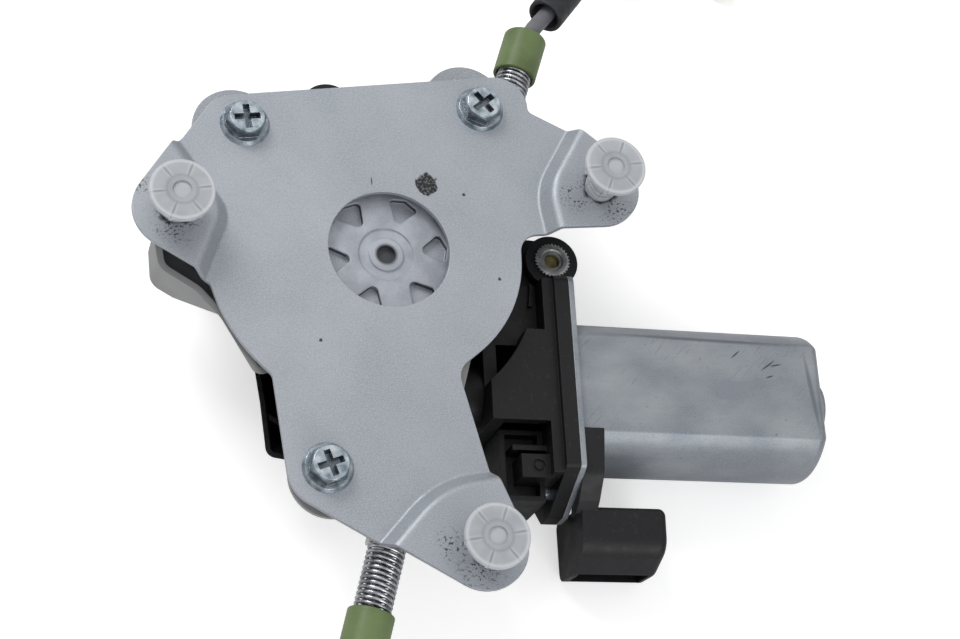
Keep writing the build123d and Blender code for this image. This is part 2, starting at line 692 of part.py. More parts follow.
def front_bearing():
    end = BEARING_FROM + BEARING_L
    return on_motor(rod(6.0, BEARING_FROM, end) - rod(ARMATURE_SHAFT_R + RUN_FIT, 20, 40))


def thrust_pad():
    return on_motor(rod(3.2, THRUST_END - GAP - 2.2, THRUST_END - GAP))


def brush_holder():
    """The plate inside the can's mouth that carries the two brushes."""
    plate = Rot(0, 90, 0) * extrude(
        double_d(YOKE_R - YOKE_SHEET - GAP, YOKE_HALF_T - YOKE_SHEET - GAP), amount=2.5
    )
    plate = Pos(YOKE_FROM + YOKE_SHEET, 0, 0) * plate
    plate -= rod(COMMUTATOR_R + 1, 0, YOKE_TO)
    for side in (-1, 1):
        guide = Pos(YOKE_FROM + 8, side * 13, 0) * (Box(9, 8, 9) - Box(7, 20, 5.4))
        plate += guide - rod(COMMUTATOR_R + 1, 0, YOKE_TO)
    return on_motor(plate)


def brushes():
    blocks = []
    for side in (-1, 1):
        block = Pos(YOKE_FROM + 8, side * 12.2, 0) * Box(6.4, 9.6, 5)
        blocks.append(on_motor(block - rod(COMMUTATOR_R + RUN_FIT, 0, YOKE_TO)))
    return Compound(children=blocks)


def yoke_screws():
    screws = []
    for side in (-1, 1):
        head = rod(3.9, YOKE_FROM + YOKE_SHEET, YOKE_FROM + YOKE_SHEET + 3)
        screw = head + rod(M5_R, YOKE_FROM - 12, YOKE_FROM + YOKE_SHEET + 0.5)
        screws.append(on_motor(Pos(0, side * YOKE_EAR, 0) * screw))
    return Compound(children=screws)


# Gearbox
def block(x, y, z):
    """A box from three pairs of limits."""
    centre = [(a + b) / 2 for a, b in (x, y, z)]
    return Pos(*centre) * Box(x[1] - x[0], y[1] - y[0], z[1] - z[0])


def brush_chamber():
    """The outside of the chamber for the brushes, with its ribbed pockets and the flange."""
    front = WHEEL_Z + YOKE_HALF_T
    strip = YOKE_FROM - FLANGE_T - STRIP_T
    body = along_motor(flange_outline(), YOKE_FROM - FLANGE_T, YOKE_FROM)
    body += block((strip, YOKE_FROM - FLANGE_T), (-60.5, -1.6), (FLOOR_Z, front))
    body += block((BELL_START, strip), (BELL_BOTTOM, BELL_TOP), (FLOOR_Z, front))
    body += block((BELL_START + 2, strip), (BELL_TOP, -1.6), (FLOOR_Z + 8, front - 7))
    body += block((36, 46), (-8.5, -1.6), (FLOOR_Z + 8, front - 5.5))
    floor = block((BELL_START + 4, strip), (-66.5, BELL_BOTTOM), (FLOOR_Z + 6, front - 9))
    floor -= block((BELL_START + 5.6, strip - 1.6), (-64.9, BELL_BOTTOM - 1.6), (front - 13, front))
    body += floor
    body += block((39.2, 48.5), (-61.0, -54.2), (FLOOR_Z + 6, front - 3.5))
    body += block((37.5, 48.5), (-52.4, -50.8), (FLOOR_Z + 6, front - 6))
    body -= disc(1.9, front - 4.1, front, (44.2, -57.6)) - disc(1.1, front - 5, front, (44.2, -57.6))
    return body - disc(BELL_FACE_R, front - 7, front + 5)


def gearbox_housing():
    """The black moulding: wheel chamber, worm tunnel, brush chamber, flange and lugs."""
    tunnel_end = THRUST_END - 5.5
    body = disc(CHAMBER_R + GEARBOX_WALL, GEARBOX_LOW, HOUSING_LOW)
    body += brush_chamber()
    body += on_motor(rod(TUNNEL_R + GEARBOX_WALL, tunnel_end, BELL_START + 1))
    lug_top = HOUSING_LOW + 2
    for place in LUG_PLACES:
        arm = make_hull([(Pos(*place) * Circle(LUG_R)).edge(), Circle(16).edge()])
        body += slab(arm, lug_top - 9, lug_top - 4)
        body += disc(LUG_R, lug_top - 14, lug_top, place)
    body += tray()
    body -= disc(CHAMBER_R, CHAMBER_LOW, HOUSING_LOW + 30)
    body -= on_motor(rod(TUNNEL_R, THRUST_END, BEARING_FROM))
    body -= on_motor(rod(3.2, THRUST_END - GAP - 2.2, THRUST_END + 1))
    body -= on_motor(rod(6.0, BEARING_FROM - 1, BEARING_FROM + BEARING_L))
    body -= on_motor(rod(ARMATURE_SHAFT_R + 1, BEARING_FROM, BELL_START + 8))
    mouth = double_d(YOKE_R - 4, YOKE_HALF_T - 3) & Rectangle(60, 25)
    mouth = Rot(0, 90, 0) * extrude(mouth, amount=YOKE_FROM - BELL_START)
    body -= on_motor(Pos(BELL_START + 4, 0, 0) * mouth)
    body -= disc(SHAFT_R, GEARBOX_LOW + 0.8, CHAMBER_LOW + 1)
    for place in LUG_PLACES:
        body -= disc(INSERT_R, lug_top - 15, lug_top + 1, place)
    for side in (-1, 1):
        body -= on_motor(Pos(0, side * YOKE_EAR, 0) * rod(M5_R, YOKE_FROM - 12.5, YOKE_FROM + 1))
    return body - block((YOKE_FROM, 80), (-90, -0.3), (FLOOR_Z - 1, 0))


def tray():
    """The ribbed open tray about the worm's end; its walls lean with the mould's slides."""
    rim = outline(
        (-42.0, -17.5, 4), (-35.0, -30.4, 6), (-33.6, -40.1, 8), (-32.0, -55.6, 3), (-26.5, -56.4, 2),
        (-8.0, -46.0, 4), (-8.0, -22.0, 4), (-24.0, -12.0, 4),
    )
    top, low = PLATE_FRONT - 20.0, PLATE_FRONT - 32.0
    lean = Pos(4.8, 8.0, low) * rim
    walls = loft([lean, Pos(0, 0, top) * rim])
    floor = Pos(0, 0, TRAY_WALL) * offset(lean, amount=-TRAY_WALL)
    inside = loft([floor, Pos(0, 0, top + 0.1) * offset(rim, amount=-TRAY_WALL)])
    rib = Pos(-27.5, -45.5, top - 6) * Rot(0, 0, -32) * Box(18, 1.4, 9)
    return walls - inside + (rib & walls)


def gearbox_cover():
    """The lid of the wheel chamber, held under the drum housing."""
    lid = disc(CHAMBER_R, COVER_LOW, COVER_LOW + COVER_T)
    return lid - disc(8.5 + GAP, COVER_LOW - 1, COVER_LOW + COVER_T + 1)


def lug_inserts():
    top = COVER_LOW + COVER_T + 2
    tubes = []
    for place in LUG_PLACES:
        bore = disc(INSERT_BORE_R, top - 15, top + 1, place)
        tubes.append(disc(INSERT_R, top - 14, top + 0.2, place) - bore)
    return Compound(children=tubes)


def lug_screws():
    top = COVER_LOW + COVER_T + 2
    screws = []
    for place in LUG_PLACES:
        shank = disc(INSERT_BORE_R - 0.1, top - 17, top - 1.5, place)
        screws.append(shank + disc(4, top - 19, top - 14, place))
    return Compound(children=screws)


# Connector
def connector_shroud():
    """The plug socket, open downwards, on the strap that brings the wires out of the can."""
    shell = outline(
        (-67.2, -24.4, 1.5), (-79.4, -25.2, 7), (-84.2, -37.0, 6), (-83.6, -48.4, 3), (-66.0, -48.4, 2)
    )
    end = CONNECTOR_FROM + CONNECTOR_L
    body = along_motor(shell, CONNECTOR_FROM, end)
    body = fillet(body.faces().sort_by(Axis.X)[-1].edges(), 2.4)
    mouth = outline(
        (-69.5, -28.5, 1), (-78.0, -33.5, 4), (-90.0, -39.6, 0), (-90.0, -46.6, 0), (-69.5, -46.6, 1)
    )
    body -= along_motor(mouth, CONNECTOR_FROM + CONNECTOR_WALL, end - CONNECTOR_WALL - 1)
    strap = outline(
        (-47.2, -13.6, 0.6), (-60.0, -16.4, 6), (-66.4, -22.0, 4), (-69.2, -25.5, 0), (-69.2, -30.0, 0),
        (-65.0, -28.5, 2), (-57.5, -22.5, 4), (-52.0, -17.8, 5), (-47.2, -14.5, 0),
    )
    return body + along_motor(strap, YOKE_FROM + YOKE_SHEET, YOKE_FROM + YOKE_SHEET + STRAP_W)


def connector_pins():
    """The two blade contacts, which stand on the floor of the socket."""
    thin, wide, length = PIN_SIZE
    return Compound(children=[
        Pos(CONNECTOR_FROM + CONNECTOR_L / 2 + shift, -69.5 - length / 2, -44.4) * Box(wide, length, thin)
        for shift in (-5, 5)
    ])


# Conduits
UPPER_ROUTE = [
    (47.9, 78.4, -14.5),
    (63.4, 97.6, -20.5),
    (88.0, 117.5, -33.5),
    (101.2, 137.0, -41.0),
    (102.0, 152.0, -41.5),
]
UPPER_COIL = (74.0, 152.0)
LOWER_ROUTE = [
    (-11.2, -119.1, -14.5),
    (-11.5, -133.0, -19.0),
    (-13.5, -148.5, -28.0),
    (-20.0, -165.0, -36.5),
    (-35.5, -176.3, -41.3),
    (-53.0, -178.0, -41.5),
]
LOWER_COIL = (-52.0, -150.0)


def conduit(place, reach, route):
    """A plain tube of straight runs joined by the largest arcs that fit."""
    points = [(place * Pos(reach + SLEEVE_CUP + GAP, 0, 0)).position] + [Vector(*p) for p in route]
    radii = []
    for a, b, c in zip(points, points[1:], points[2:]):
        turn = math.radians((b - a).get_angle(c - b))
        radii.append(0.45 * min((b - a).length, (c - b).length) / math.tan(turn / 2))
    path = FilletPolyline(*points, radius=radii)
    tube = sweep(Plane(origin=path @ 0, z_dir=path % 0) * Circle(CONDUIT_R), path=path)
    share = tube.volume / (math.pi * CONDUIT_R**2 * path.length)
    print("conduit", round(path.length, 1), "mm, volume against its length", round(share, 4))
    print("arc radii", [round(r, 1) for r in radii])
    return tube


def coil_exit(centre, angle, turning):
    """Where a conduit leaves its coil on the ground, with local X along it."""
    at = math.radians(angle)
    start = (centre[0] + COIL_R * math.cos(at), centre[1] + COIL_R * math.sin(at), FLOOR_Z + FERRULE_R)
    along = (-turning * math.sin(at), turning * math.cos(at), 0)
    return Plane(origin=start, x_dir=along, z_dir=(0, 0, 1)).location


UPPER_END = coil_exit(UPPER_COIL, 270, 1)
LOWER_END = coil_exit(LOWER_COIL, 90, -1)


def coil(centre, end):
    """The outer shape of two turns, one on the other, and the straight end that leaves them."""
    turns = Pos(COIL_R, FLOOR_Z + 2 * CONDUIT_R) * Rectangle(2 * CONDUIT_R, 4 * CONDUIT_R)
    ring = revolve(Plane.XZ * fillet(turns.vertices(), 0.8 * CONDUIT_R), Axis.Z)
    return Pos(centre[0], centre[1], 0) * ring + end * rod(CONDUIT_R, 0, COIL_TAIL)


def ferrule():
    """The fitting on a conduit's far end, with a collar and a narrower nose."""
    body = rod(FERRULE_R, 0, FERRULE_L - 5) + rod(FERRULE_R - 0.8, 0, FERRULE_L)
    return body - rod(CABLE_R, 1, FERRULE_L + 1)


def cable_end():
    """The bare end of the inner cable with its nipple across it."""
    end = FERRULE_L + CABLE_TAIL
    return rod(CABLE_R, 1, end) + Pos(end, 0, 0) * Rot(90, 0, 0) * Cylinder(NIPPLE_R, NIPPLE_L)


def rattle_tube():
    """The soft tube that keeps the upper conduit from rattling, bent as the conduit is."""
    first, corner, after = (Vector(*p) for p in UPPER_ROUTE[:3])
    ahead, beyond = (corner - first).normalized(), (after - corner).normalized()
    start, end = first + ahead * RATTLE_FROM, corner + beyond * RATTLE_TO
    turn = math.radians(ahead.get_angle(beyond))
    radius = 0.45 * min((corner - first).length, (after - corner).length) / math.tan(turn / 2)
    path = FilletPolyline(start, corner, end, radius=[radius])
    section = Circle(RATTLE_R) - Circle(CONDUIT_R + GAP)
    tube = sweep(Plane(origin=path @ 0, z_dir=path % 0) * section, path=path)
    mouth = Plane(origin=path @ 0, z_dir=path % 0) * extrude(Circle(RATTLE_BORE_R), amount=6)
    return tube - mouth


# Write every piece
upper_mouth = UPPER_REACH + SPRING_SEAT
lower_mouth = LOWER_REACH + SPRING_SEAT
upper_end = UPPER_END * Pos(COIL_TAIL, 0, 0)
lower_end = LOWER_END * Pos(COIL_TAIL, 0, 0)
save(
    mounting_plate=mounting_plate(),
    backing_plate=backing_plate(),
    drum_housing=drum_housing(),
    plate_screws=Compound(
        children=[flange_screw(SEAT_LEFT, 8), flange_screw(SEAT_RIGHT, 40), flange_screw(SEAT_LOW, 20)]
    ),
    left_clip=push_clip(EAR_LEFT),
    right_clip=push_clip(EAR_RIGHT),
    lower_clip=push_clip(EAR_LOW),
    upper_socket=socket_body(UPPER, upper_mouth),
    lower_socket=socket_body(LOWER, lower_mouth),
    upper_spring=UPPER * spring(upper_mouth),
    lower_spring=LOWER * spring(lower_mouth),
    upper_cable=UPPER * cable_span(UPPER_REACH + SLEEVE_CUP),
    lower_cable=LOWER * cable_span(LOWER_REACH + SLEEVE_CUP),
    upper_sleeve=UPPER * sleeve(UPPER_REACH),
    lower_sleeve=LOWER * sleeve(LOWER_REACH),
    upper_conduit=conduit(UPPER, UPPER_REACH, UPPER_ROUTE),
    lower_conduit=conduit(LOWER, LOWER_REACH, LOWER_ROUTE),
    upper_coil=coil(UPPER_COIL, UPPER_END),
    lower_coil=coil(LOWER_COIL, LOWER_END),
    upper_ferrule=upper_end * ferrule(),
    lower_ferrule=lower_end * ferrule(),
    upper_cable_end=upper_end * cable_end(),
    lower_cable_end=lower_end * cable_end(),
    rattle_tube=rattle_tube(),
    cable_drum=cable_drum(),
    drum_cable=wound_cable(),
    drive_dog=drive_dog(),
    damper=damper(),
    worm_wheel=worm_wheel(),
    shaft_pin=shaft_pin(),
    worm=worm(),
    armature_shaft=armature_shaft(),
    armature_core=armature_core(),
    armature_windings=armature_windings(),
    commutator=commutator(),
    motor_yoke=motor_yoke(),
    magnets=magnets(),
    rear_bearing=rear_bearing(),
    front_bearing=front_bearing(),
    thrust_pad=thrust_pad(),
    brush_holder=brush_holder(),
    brushes=brushes(),
    yoke_screws=yoke_screws(),
    gearbox_housing=gearbox_housing(),
    gearbox_cover=gearbox_cover(),
    lug_inserts=lug_inserts(),
    lug_screws=lug_screws(),
    connector_shroud=connector_shroud(),
    connector_pins=connector_pins(),
)
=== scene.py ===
import math

import bmesh
import bpy
from mathutils import Matrix, Vector


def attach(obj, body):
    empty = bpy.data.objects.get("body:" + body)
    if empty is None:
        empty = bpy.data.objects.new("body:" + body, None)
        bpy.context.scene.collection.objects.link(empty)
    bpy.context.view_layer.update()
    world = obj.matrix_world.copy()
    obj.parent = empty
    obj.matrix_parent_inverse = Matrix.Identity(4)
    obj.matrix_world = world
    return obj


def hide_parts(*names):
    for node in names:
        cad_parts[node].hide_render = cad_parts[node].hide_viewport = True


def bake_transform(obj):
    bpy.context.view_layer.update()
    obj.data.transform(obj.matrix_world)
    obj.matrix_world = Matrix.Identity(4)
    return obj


# Window regulator drive unit. The frame's origin is on the cable drum's axis, in the plane of the ears;
# +Z points to the door panel, +X runs along the motor. Lengths are in metres.
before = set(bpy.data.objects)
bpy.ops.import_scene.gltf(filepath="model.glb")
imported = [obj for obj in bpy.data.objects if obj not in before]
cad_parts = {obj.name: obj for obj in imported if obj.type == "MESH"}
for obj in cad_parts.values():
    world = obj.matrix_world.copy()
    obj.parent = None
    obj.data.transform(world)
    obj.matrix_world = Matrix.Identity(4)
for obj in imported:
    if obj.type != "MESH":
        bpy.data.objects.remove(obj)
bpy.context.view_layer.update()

MM = 0.001
FLOOR_Z = -49 * MM
CONDUIT_R = 2.5 * MM
COIL_R = 28 * MM
COIL_STEP = 22.5  # degrees between two points of a coil
COIL_TAIL = 24 * MM
TAIL_Z = -45.4 * MM
TOP_TURN_Z = -41.5 * MM
LOW_TURN_Z = -46.5 * MM


# Helpers that add objects to the scene
def add_object(name, data):
    added = bpy.data.objects.new(name, data)
    bpy.context.collection.objects.link(added)
    return added


def on_circle(centre, radius, angle, height):
    """A place on a level circle."""
    return Vector((centre[0] + radius * math.cos(angle), centre[1] + radius * math.sin(angle), height))


def circle_points(centre, radius, sides, across, upward):
    """Points round a centre, in the plane of two directions."""
    points = []
    for number in range(sides):
        angle = 2 * math.pi * number / sides
        points.append(centre + radius * (math.cos(angle) * across + math.sin(angle) * upward))
    return points


def joined_rings(rings, sides):
    """Faces between rings of points, each ring joined to the next one."""
    faces = []
    for ring in range(rings - 1):
        a, b = ring * sides, (ring + 1) * sides
        for number in range(sides):
            after = (number + 1) % sides
            faces.append((a + number, a + after, b + after, b + number))
    return faces


def add_mesh(name, vertices, faces, smooth=False):
    mesh = bpy.data.meshes.new(name)
    mesh.from_pydata(vertices, [], faces)
    mesh.validate()
    for face in mesh.polygons:
        face.use_smooth = smooth
    return add_object(name, mesh)


# Camera at the photograph's angle
CAMERA_AT = Vector((-0.1243, -0.2252, 0.4920))
CAMERA_RIGHT = Vector((0.9623, -0.0518, 0.2680))
CAMERA_UP = Vector((-0.0518, 0.9287, 0.3680))
FOCAL_LENGTH = 75.0
SENSOR_WIDTH = 36.0


def add_camera():
    data = bpy.data.cameras.new("camera")
    data.lens = FOCAL_LENGTH
    data.sensor_width = SENSOR_WIDTH
    data.sensor_fit = "HORIZONTAL"
    camera = add_object("camera", data)
    right = CAMERA_RIGHT.normalized()
    back = right.cross(CAMERA_UP).normalized()
    turned = Matrix((right, back.cross(right), back)).transposed().to_4x4()
    camera.matrix_world = Matrix.Translation(CAMERA_AT) @ turned
    bpy.context.scene.camera = camera


# Conduits, from the sleeve on each cable's spring to the fitting on its far end
UPPER_ROUTE = [
    (44.2, 67.3, -14.5), (47.9, 78.4, -14.5), (54.5, 85.9, -15.2), (63.4, 98.3, -18.0),
    (73.2, 112.2, -24.0), (85.0, 125.5, -32.5), (96.0, 138.5, -39.3), (101.3, 148.0, -41.4),
]
UPPER_COIL = Vector((74 * MM, 152 * MM, 0))
UPPER_EXIT = (47.3 * MM, 76.8 * MM, -14.5 * MM)
LOWER_ROUTE = [
    (-7.5, -105.6, -14.5), (-11.2, -119.1, -14.5), (-11.5, -133.0, -19.0), (-13.5, -148.5, -28.0),
    (-20.0, -165.0, -36.5), (-35.5, -176.3, -41.3), (-53.0, -178.0, -41.5),
]
LOWER_COIL = Vector((-52 * MM, -150 * MM, 0))
# Each coil's angle at its start, direction, degrees on top, degrees of sinking and degrees in all
UPPER_TURNS = (0, 1, 270, 90, 630)
LOWER_TURNS = (-90, -1, 180, 180, 540)


def coil_height(turned, top, sinking, total):
    """The level of a coil's turn: on top, then sinking to the floor, then level with the fitting."""
    if turned < top:
        return TOP_TURN_Z
    if turned < top + sinking:
        share = (turned - top) / sinking
        return TOP_TURN_Z + (LOW_TURN_Z - TOP_TURN_Z) * share * share * (3 - 2 * share)
    if turned > total - 2 * COIL_STEP:
        return (LOW_TURN_Z + TAIL_Z) / 2
    return LOW_TURN_Z


def coil_points(centre, start, direction, top, sinking, total):
    """Points round a coil, just outside its circle so that the spline lies on it, and its straight end."""
    reach = COIL_R / math.cos(math.radians(COIL_STEP / 2))
    points = []
    for number in range(round(total / COIL_STEP)):
        turned = (number + 0.5) * COIL_STEP
        angle = math.radians(start + direction * turned)
        points.append(on_circle(centre, reach, angle, coil_height(turned, top, sinking, total)))
    last = math.radians(start + direction * total)
    leave = on_circle(centre, COIL_R, last, TAIL_Z)
    ahead = Vector((-direction * math.sin(last), direction * math.cos(last), 0))
    return points + [leave + ahead * COIL_TAIL / 2, leave + ahead * COIL_TAIL]


def spline_object(name, points, radius):
    """A round hose along a smooth spline."""
    data = bpy.data.curves.new(name, "CURVE")
    data.dimensions = "3D"
    data.bevel_depth = 1.0  # times each point's radius
    data.bevel_resolution = 8
    data.resolution_u = 10
    data.use_fill_caps = True
    spline = data.splines.new("NURBS")
    spline.points.add(len(points) - 1)
    for place, point in zip(spline.points, points):
        place.co = (*point, 1.0)
        place.radius = radius
    spline.order_u = 3
    spline.use_endpoint_u = True
    return add_object(name, data)


def centre_line(piece):
    """The points of a hose's spline, as a mesh of it without thickness gives them."""
    piece.data.bevel_depth = 0
    bpy.context.view_layer.update()
    mesh = bpy.data.meshes.new_from_object(piece)
    line = [vertex.co.copy() for vertex in mesh.vertices]
    bpy.data.meshes.remove(mesh)
    piece.data.bevel_depth = 1.0
    return line


def add_hoses():
    upper = [Vector(point) * MM for point in UPPER_ROUTE]
    upper += coil_points(UPPER_COIL, *UPPER_TURNS)
    lower = [Vector(point) * MM for point in LOWER_ROUTE]
    lower += coil_points(LOWER_COIL, *LOWER_TURNS)
    hoses = spline_object("upper_hose", upper, CONDUIT_R), spline_object("lower_hose", lower, CONDUIT_R)
    for hose, side in zip(hoses, ("upper", "lower")):
        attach(hose, f"{side}_line")
        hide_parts(f"{side}_conduit", f"{side}_coil")
    return hoses


# The soft tube on the upper conduit
TUBE_R = 5.75 * MM
TUBE_BORE_R = 4.4 * MM
TUBE_FROM = 12.0 * MM  # along the conduit, from where it leaves the sleeve
TUBE_TO = 43.0 * MM
TUBE_SIDES = 32
TUBE_STATIONS = 24  # along its length
TUBE_WAIST = 0.1 * MM  # how much slimmer it is between its ends
TUBE_SLACK = 0.04 * MM
SHORT_WAVE = 1.1  # radians from one station to the next
LONG_WAVE = 0.37
TUBE_LIP = 0.4 * MM
TUBE_LIP_CHAMFER = 0.15 * MM
TUBE_END_CHAMFER = 0.3 * MM
BORE_DEPTH = 5 * MM


def along(line, distance):
    """The place and direction at a distance along a line of points."""
    for a, b in zip(line, line[1:]):
        step = (b - a).length
        if distance <= step:
            return a + (b - a) * (distance / step), (b - a).normalized()
        distance -= step
    return line[-1], (line[-1] - line[-2]).normalized()


def nearest_distance(line, place):
    """How far along a line its nearest point to a place is."""
    target, reached, best, found = Vector(place), 0.0, float("inf"), 0.0
    for a, b in zip(line, line[1:]):
        if (a - target).length < best:
            best, found = (a - target).length, reached
        reached += (b - a).length
    return found


def soft_tube(line, start, end):
    """A slack tube with a rounded lip and an open mouth, which rides on the hose's line."""
    bore = start + BORE_DEPTH
    stations = [(bore, CONDUIT_R), (bore, TUBE_BORE_R), (start, TUBE_BORE_R)]
    stations += [(start - TUBE_LIP, (TUBE_BORE_R + TUBE_R) / 2), (start, TUBE_R - TUBE_LIP_CHAMFER)]
    for number in range(TUBE_STATIONS + 1):
        slack = TUBE_SLACK * math.sin(number * SHORT_WAVE) * math.sin(number * LONG_WAVE + 1)
        distance = start + TUBE_LIP + (end - start - 2 * TUBE_LIP) * number / TUBE_STATIONS
        stations.append((distance, TUBE_R + slack - TUBE_WAIST))
    stations += [(end, TUBE_R - TUBE_END_CHAMFER), (end, CONDUIT_R)]
    vertices = []
    for distance, radius in stations:
        place, ahead = along(line, distance)
        side = ahead.cross(Vector((0, 0, 1))).normalized()
        vertices += circle_points(place, radius, TUBE_SIDES, side, side.cross(ahead))
    piece = add_mesh("slack_tube", vertices, joined_rings(len(stations), TUBE_SIDES), smooth=True)
    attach(piece, "upper_line")
    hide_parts("rattle_tube")
    return piece


# Springs between the housing's sockets and the sleeves
SPRING_R = 5.3 * MM
WIRE_R = 0.55 * MM
WIRE_SIDES = 10
SPRING_TURNS = 15.5
TURN_STEPS = 28  # rings of points in a turn
END_TURN_SHIFT = 0.3 * MM  # by which each end turn is closed up
SPRING_L = 23.5 * MM
# Side, where its cable leaves the drum, the cable's heading in degrees and how far along it the mouth is
SPRING_LINES = (
    ("upper", (19.75 * MM, -6.53 * MM, -14.5 * MM), 71.7, 54.0 * MM),
    ("lower", (20.05 * MM, -5.52 * MM, -14.5 * MM), 254.6, 80.0 * MM),
)


def coil_spring(name, base, ahead):
    """An open coil of round wire from a base along a direction, with its end turns closed up."""
    side = ahead.cross(Vector((0, 0, 1)))
    up = side.cross(ahead)
    steps = round(SPRING_TURNS * TURN_STEPS)
    free = SPRING_L - 2 * WIRE_R
    vertices = []
    for number in range(steps + 1):
        share = number / steps
        turned = 2 * math.pi * SPRING_TURNS * share
        closed = min(1, share * SPRING_TURNS, (1 - share) * SPRING_TURNS)
        out = math.cos(turned) * side + math.sin(turned) * up
        forward = free * share + (closed - 1) * END_TURN_SHIFT * (1 if share < 0.5 else -1)
        centre = base + ahead * (WIRE_R + forward) + out * (SPRING_R - WIRE_R)
        vertices += circle_points(centre, WIRE_R, WIRE_SIDES, out, ahead)
    first, last = range(WIRE_SIDES), range(steps * WIRE_SIDES, (steps + 1) * WIRE_SIDES)
    faces = joined_rings(steps + 1, WIRE_SIDES) + [tuple(first), tuple(reversed(last))]
    return add_mesh(name, vertices, faces, smooth=True)


def add_springs():
    """Each spring stands on its socket, along its cable's heading."""
    pieces = []
    for side, leaves, heading, mouth in SPRING_LINES:
        ahead = Vector((math.cos(math.radians(heading)), math.sin(math.radians(heading)), 0))
        base = Vector(leaves) + ahead * mouth
        piece = coil_spring(f"{side}_coil_spring", base, ahead)
        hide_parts(f"{side}_spring")
        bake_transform(piece)
        pieces.append(piece)
    return pieces


# Knurled rim of each lug's insert
UPPER_LUG = (-13.0 * MM, 50.9 * MM)
LUGS = ((52.8 * MM, 6.2 * MM), UPPER_LUG, (-47.5 * MM, 15.0 * MM))
KNURL_COUNT = 30
KNURL_R = 4.9 * MM
KNURL_TOP = -20.2 * MM
KNURL_H = 0.7 * MM
KNURL_BORE_R = 3.1 * MM
TOOTH_H = 0.45 * MM
RIM_CHAMFER = 0.15 * MM
RIM_SLOPE = 0.5 * MM  # from the teeth's feet to the flat face
SEAT_CHAMFER = 0.3 * MM
SEAT_DEPTH = 0.25 * MM
KNURL_SUNK = 0.2 * MM  # into the insert


def knurl_radius(side):
    """The teeth stand over two of each four sides."""
    return KNURL_R + (TOOTH_H if side % 4 in (1, 2) else 0)


def add_knurls():
    """The toothed rim of each insert and the rounded seat inside it."""
    sides = 4 * KNURL_COUNT
    low, top = KNURL_TOP - KNURL_SUNK, KNURL_TOP + KNURL_H
    teeth = [knurl_radius(side) for side in range(sides)]
    rings = [(teeth, low), (teeth, top - RIM_CHAMFER)]
    rings += [([KNURL_R - RIM_SLOPE] * sides, top), ([KNURL_BORE_R + SEAT_CHAMFER] * sides, top)]
    rings += [([KNURL_BORE_R] * sides, top - SEAT_DEPTH), ([KNURL_BORE_R] * sides, low)]
    pieces = []
    for number, lug in enumerate(LUGS):
        vertices = []
        for radii, height in rings:
            for side, radius in enumerate(radii):
                vertices.append(on_circle(lug, radius, 2 * math.pi * side / sides, height))
        piece = add_mesh(f"insert_knurl_{number + 1}", vertices, joined_rings(len(rings), sides))
        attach(piece, "root")
        pieces.append(piece)
    return pieces


# Forms of some CAD nodes with their points moved
WELD = 0.001 * MM
SHARP_FROM = 30  # degrees
CAD_UPPER_LUG = (-13.0 * MM, 53.4 * MM)
LUG_R = 8.2 * MM
LUG_PIECES = (  # node, slot, material
    ("gearbox_housing", "black_plastic", "black"),
    ("lug_inserts", "zinc_plated_steel", "insert"),
    ("lug_screws", "brass", "brass"),
)
SCREW_SEATS = ((-40.4 * MM, 35.6 * MM), (28.6 * MM, 46.2 * MM), (-19.1 * MM, -64.7 * MM))
RECESS_R = 3.2 * MM
RECESS_BOTTOM = -3.0 * MM
RECESS_MOUTH = -0.2 * MM
RECESS_FLARE = 0.32
RIGHT_CLIP_LIFT = 3 * MM
CLIP_LIFT_ABOVE = 8.0 * MM


def reshaped(node, name, move):
    """A piece that stands for a CAD node, with its points moved."""
    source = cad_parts[node]
    points = [move(source.matrix_world @ vertex.co) for vertex in source.data.vertices]
    mesh = bpy.data.meshes.new(name)
    mesh.from_pydata(points, [], [tuple(face.vertices) for face in source.data.polygons])
    shape = bmesh.new()
    shape.from_mesh(mesh)
    bmesh.ops.remove_doubles(shape, verts=shape.verts, dist=WELD)
    shape.to_mesh(mesh)
    shape.free()
    mesh.shade_smooth()
    mesh.set_sharp_from_angle(angle=math.radians(SHARP_FROM))
    piece = add_object(name, mesh)
    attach(piece, "root")
    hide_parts(node)
    return piece


def flared(point):
    """The screws' cross recesses open out towards their mouth, as a driver's tip does."""
    for seat in SCREW_SEATS:
        away = Vector((point.x - seat[0], point.y - seat[1], 0))
        if away.length < RECESS_R and point.z > RECESS_BOTTOM:
            share = min(1.0, (point.z - RECESS_BOTTOM) / (RECESS_MOUTH - RECESS_BOTTOM))
            return point + away * (RECESS_FLARE * share)
    return point


def lug_moved(point):
    """The upper left lug just shows above the plate, so it sits nearer to the chamber than in the CAD."""
    near = math.hypot(point.x - CAD_UPPER_LUG[0], point.y - CAD_UPPER_LUG[1]) < LUG_R
    return point + Vector((0, UPPER_LUG[1] - CAD_UPPER_LUG[1], 0)) if near else point


def lifted(point):
    """The right clip isn't pushed home: its cap stands higher on the stem than the other two."""
    return point + Vector((0, 0, RIGHT_CLIP_LIFT)) if point.z > CLIP_LIFT_ABOVE else point


# Materials
def linear(red, green, blue):
    """A colour given as it looks on a screen, 0 to 255, in the renderer's linear values."""
    values = []
    for value in (red, green, blue):
        share = value / 255
        values.append(share / 12.92 if share <= 0.04045 else ((share + 0.055) / 1.055) ** 2.4)
    return (*values, 1.0)


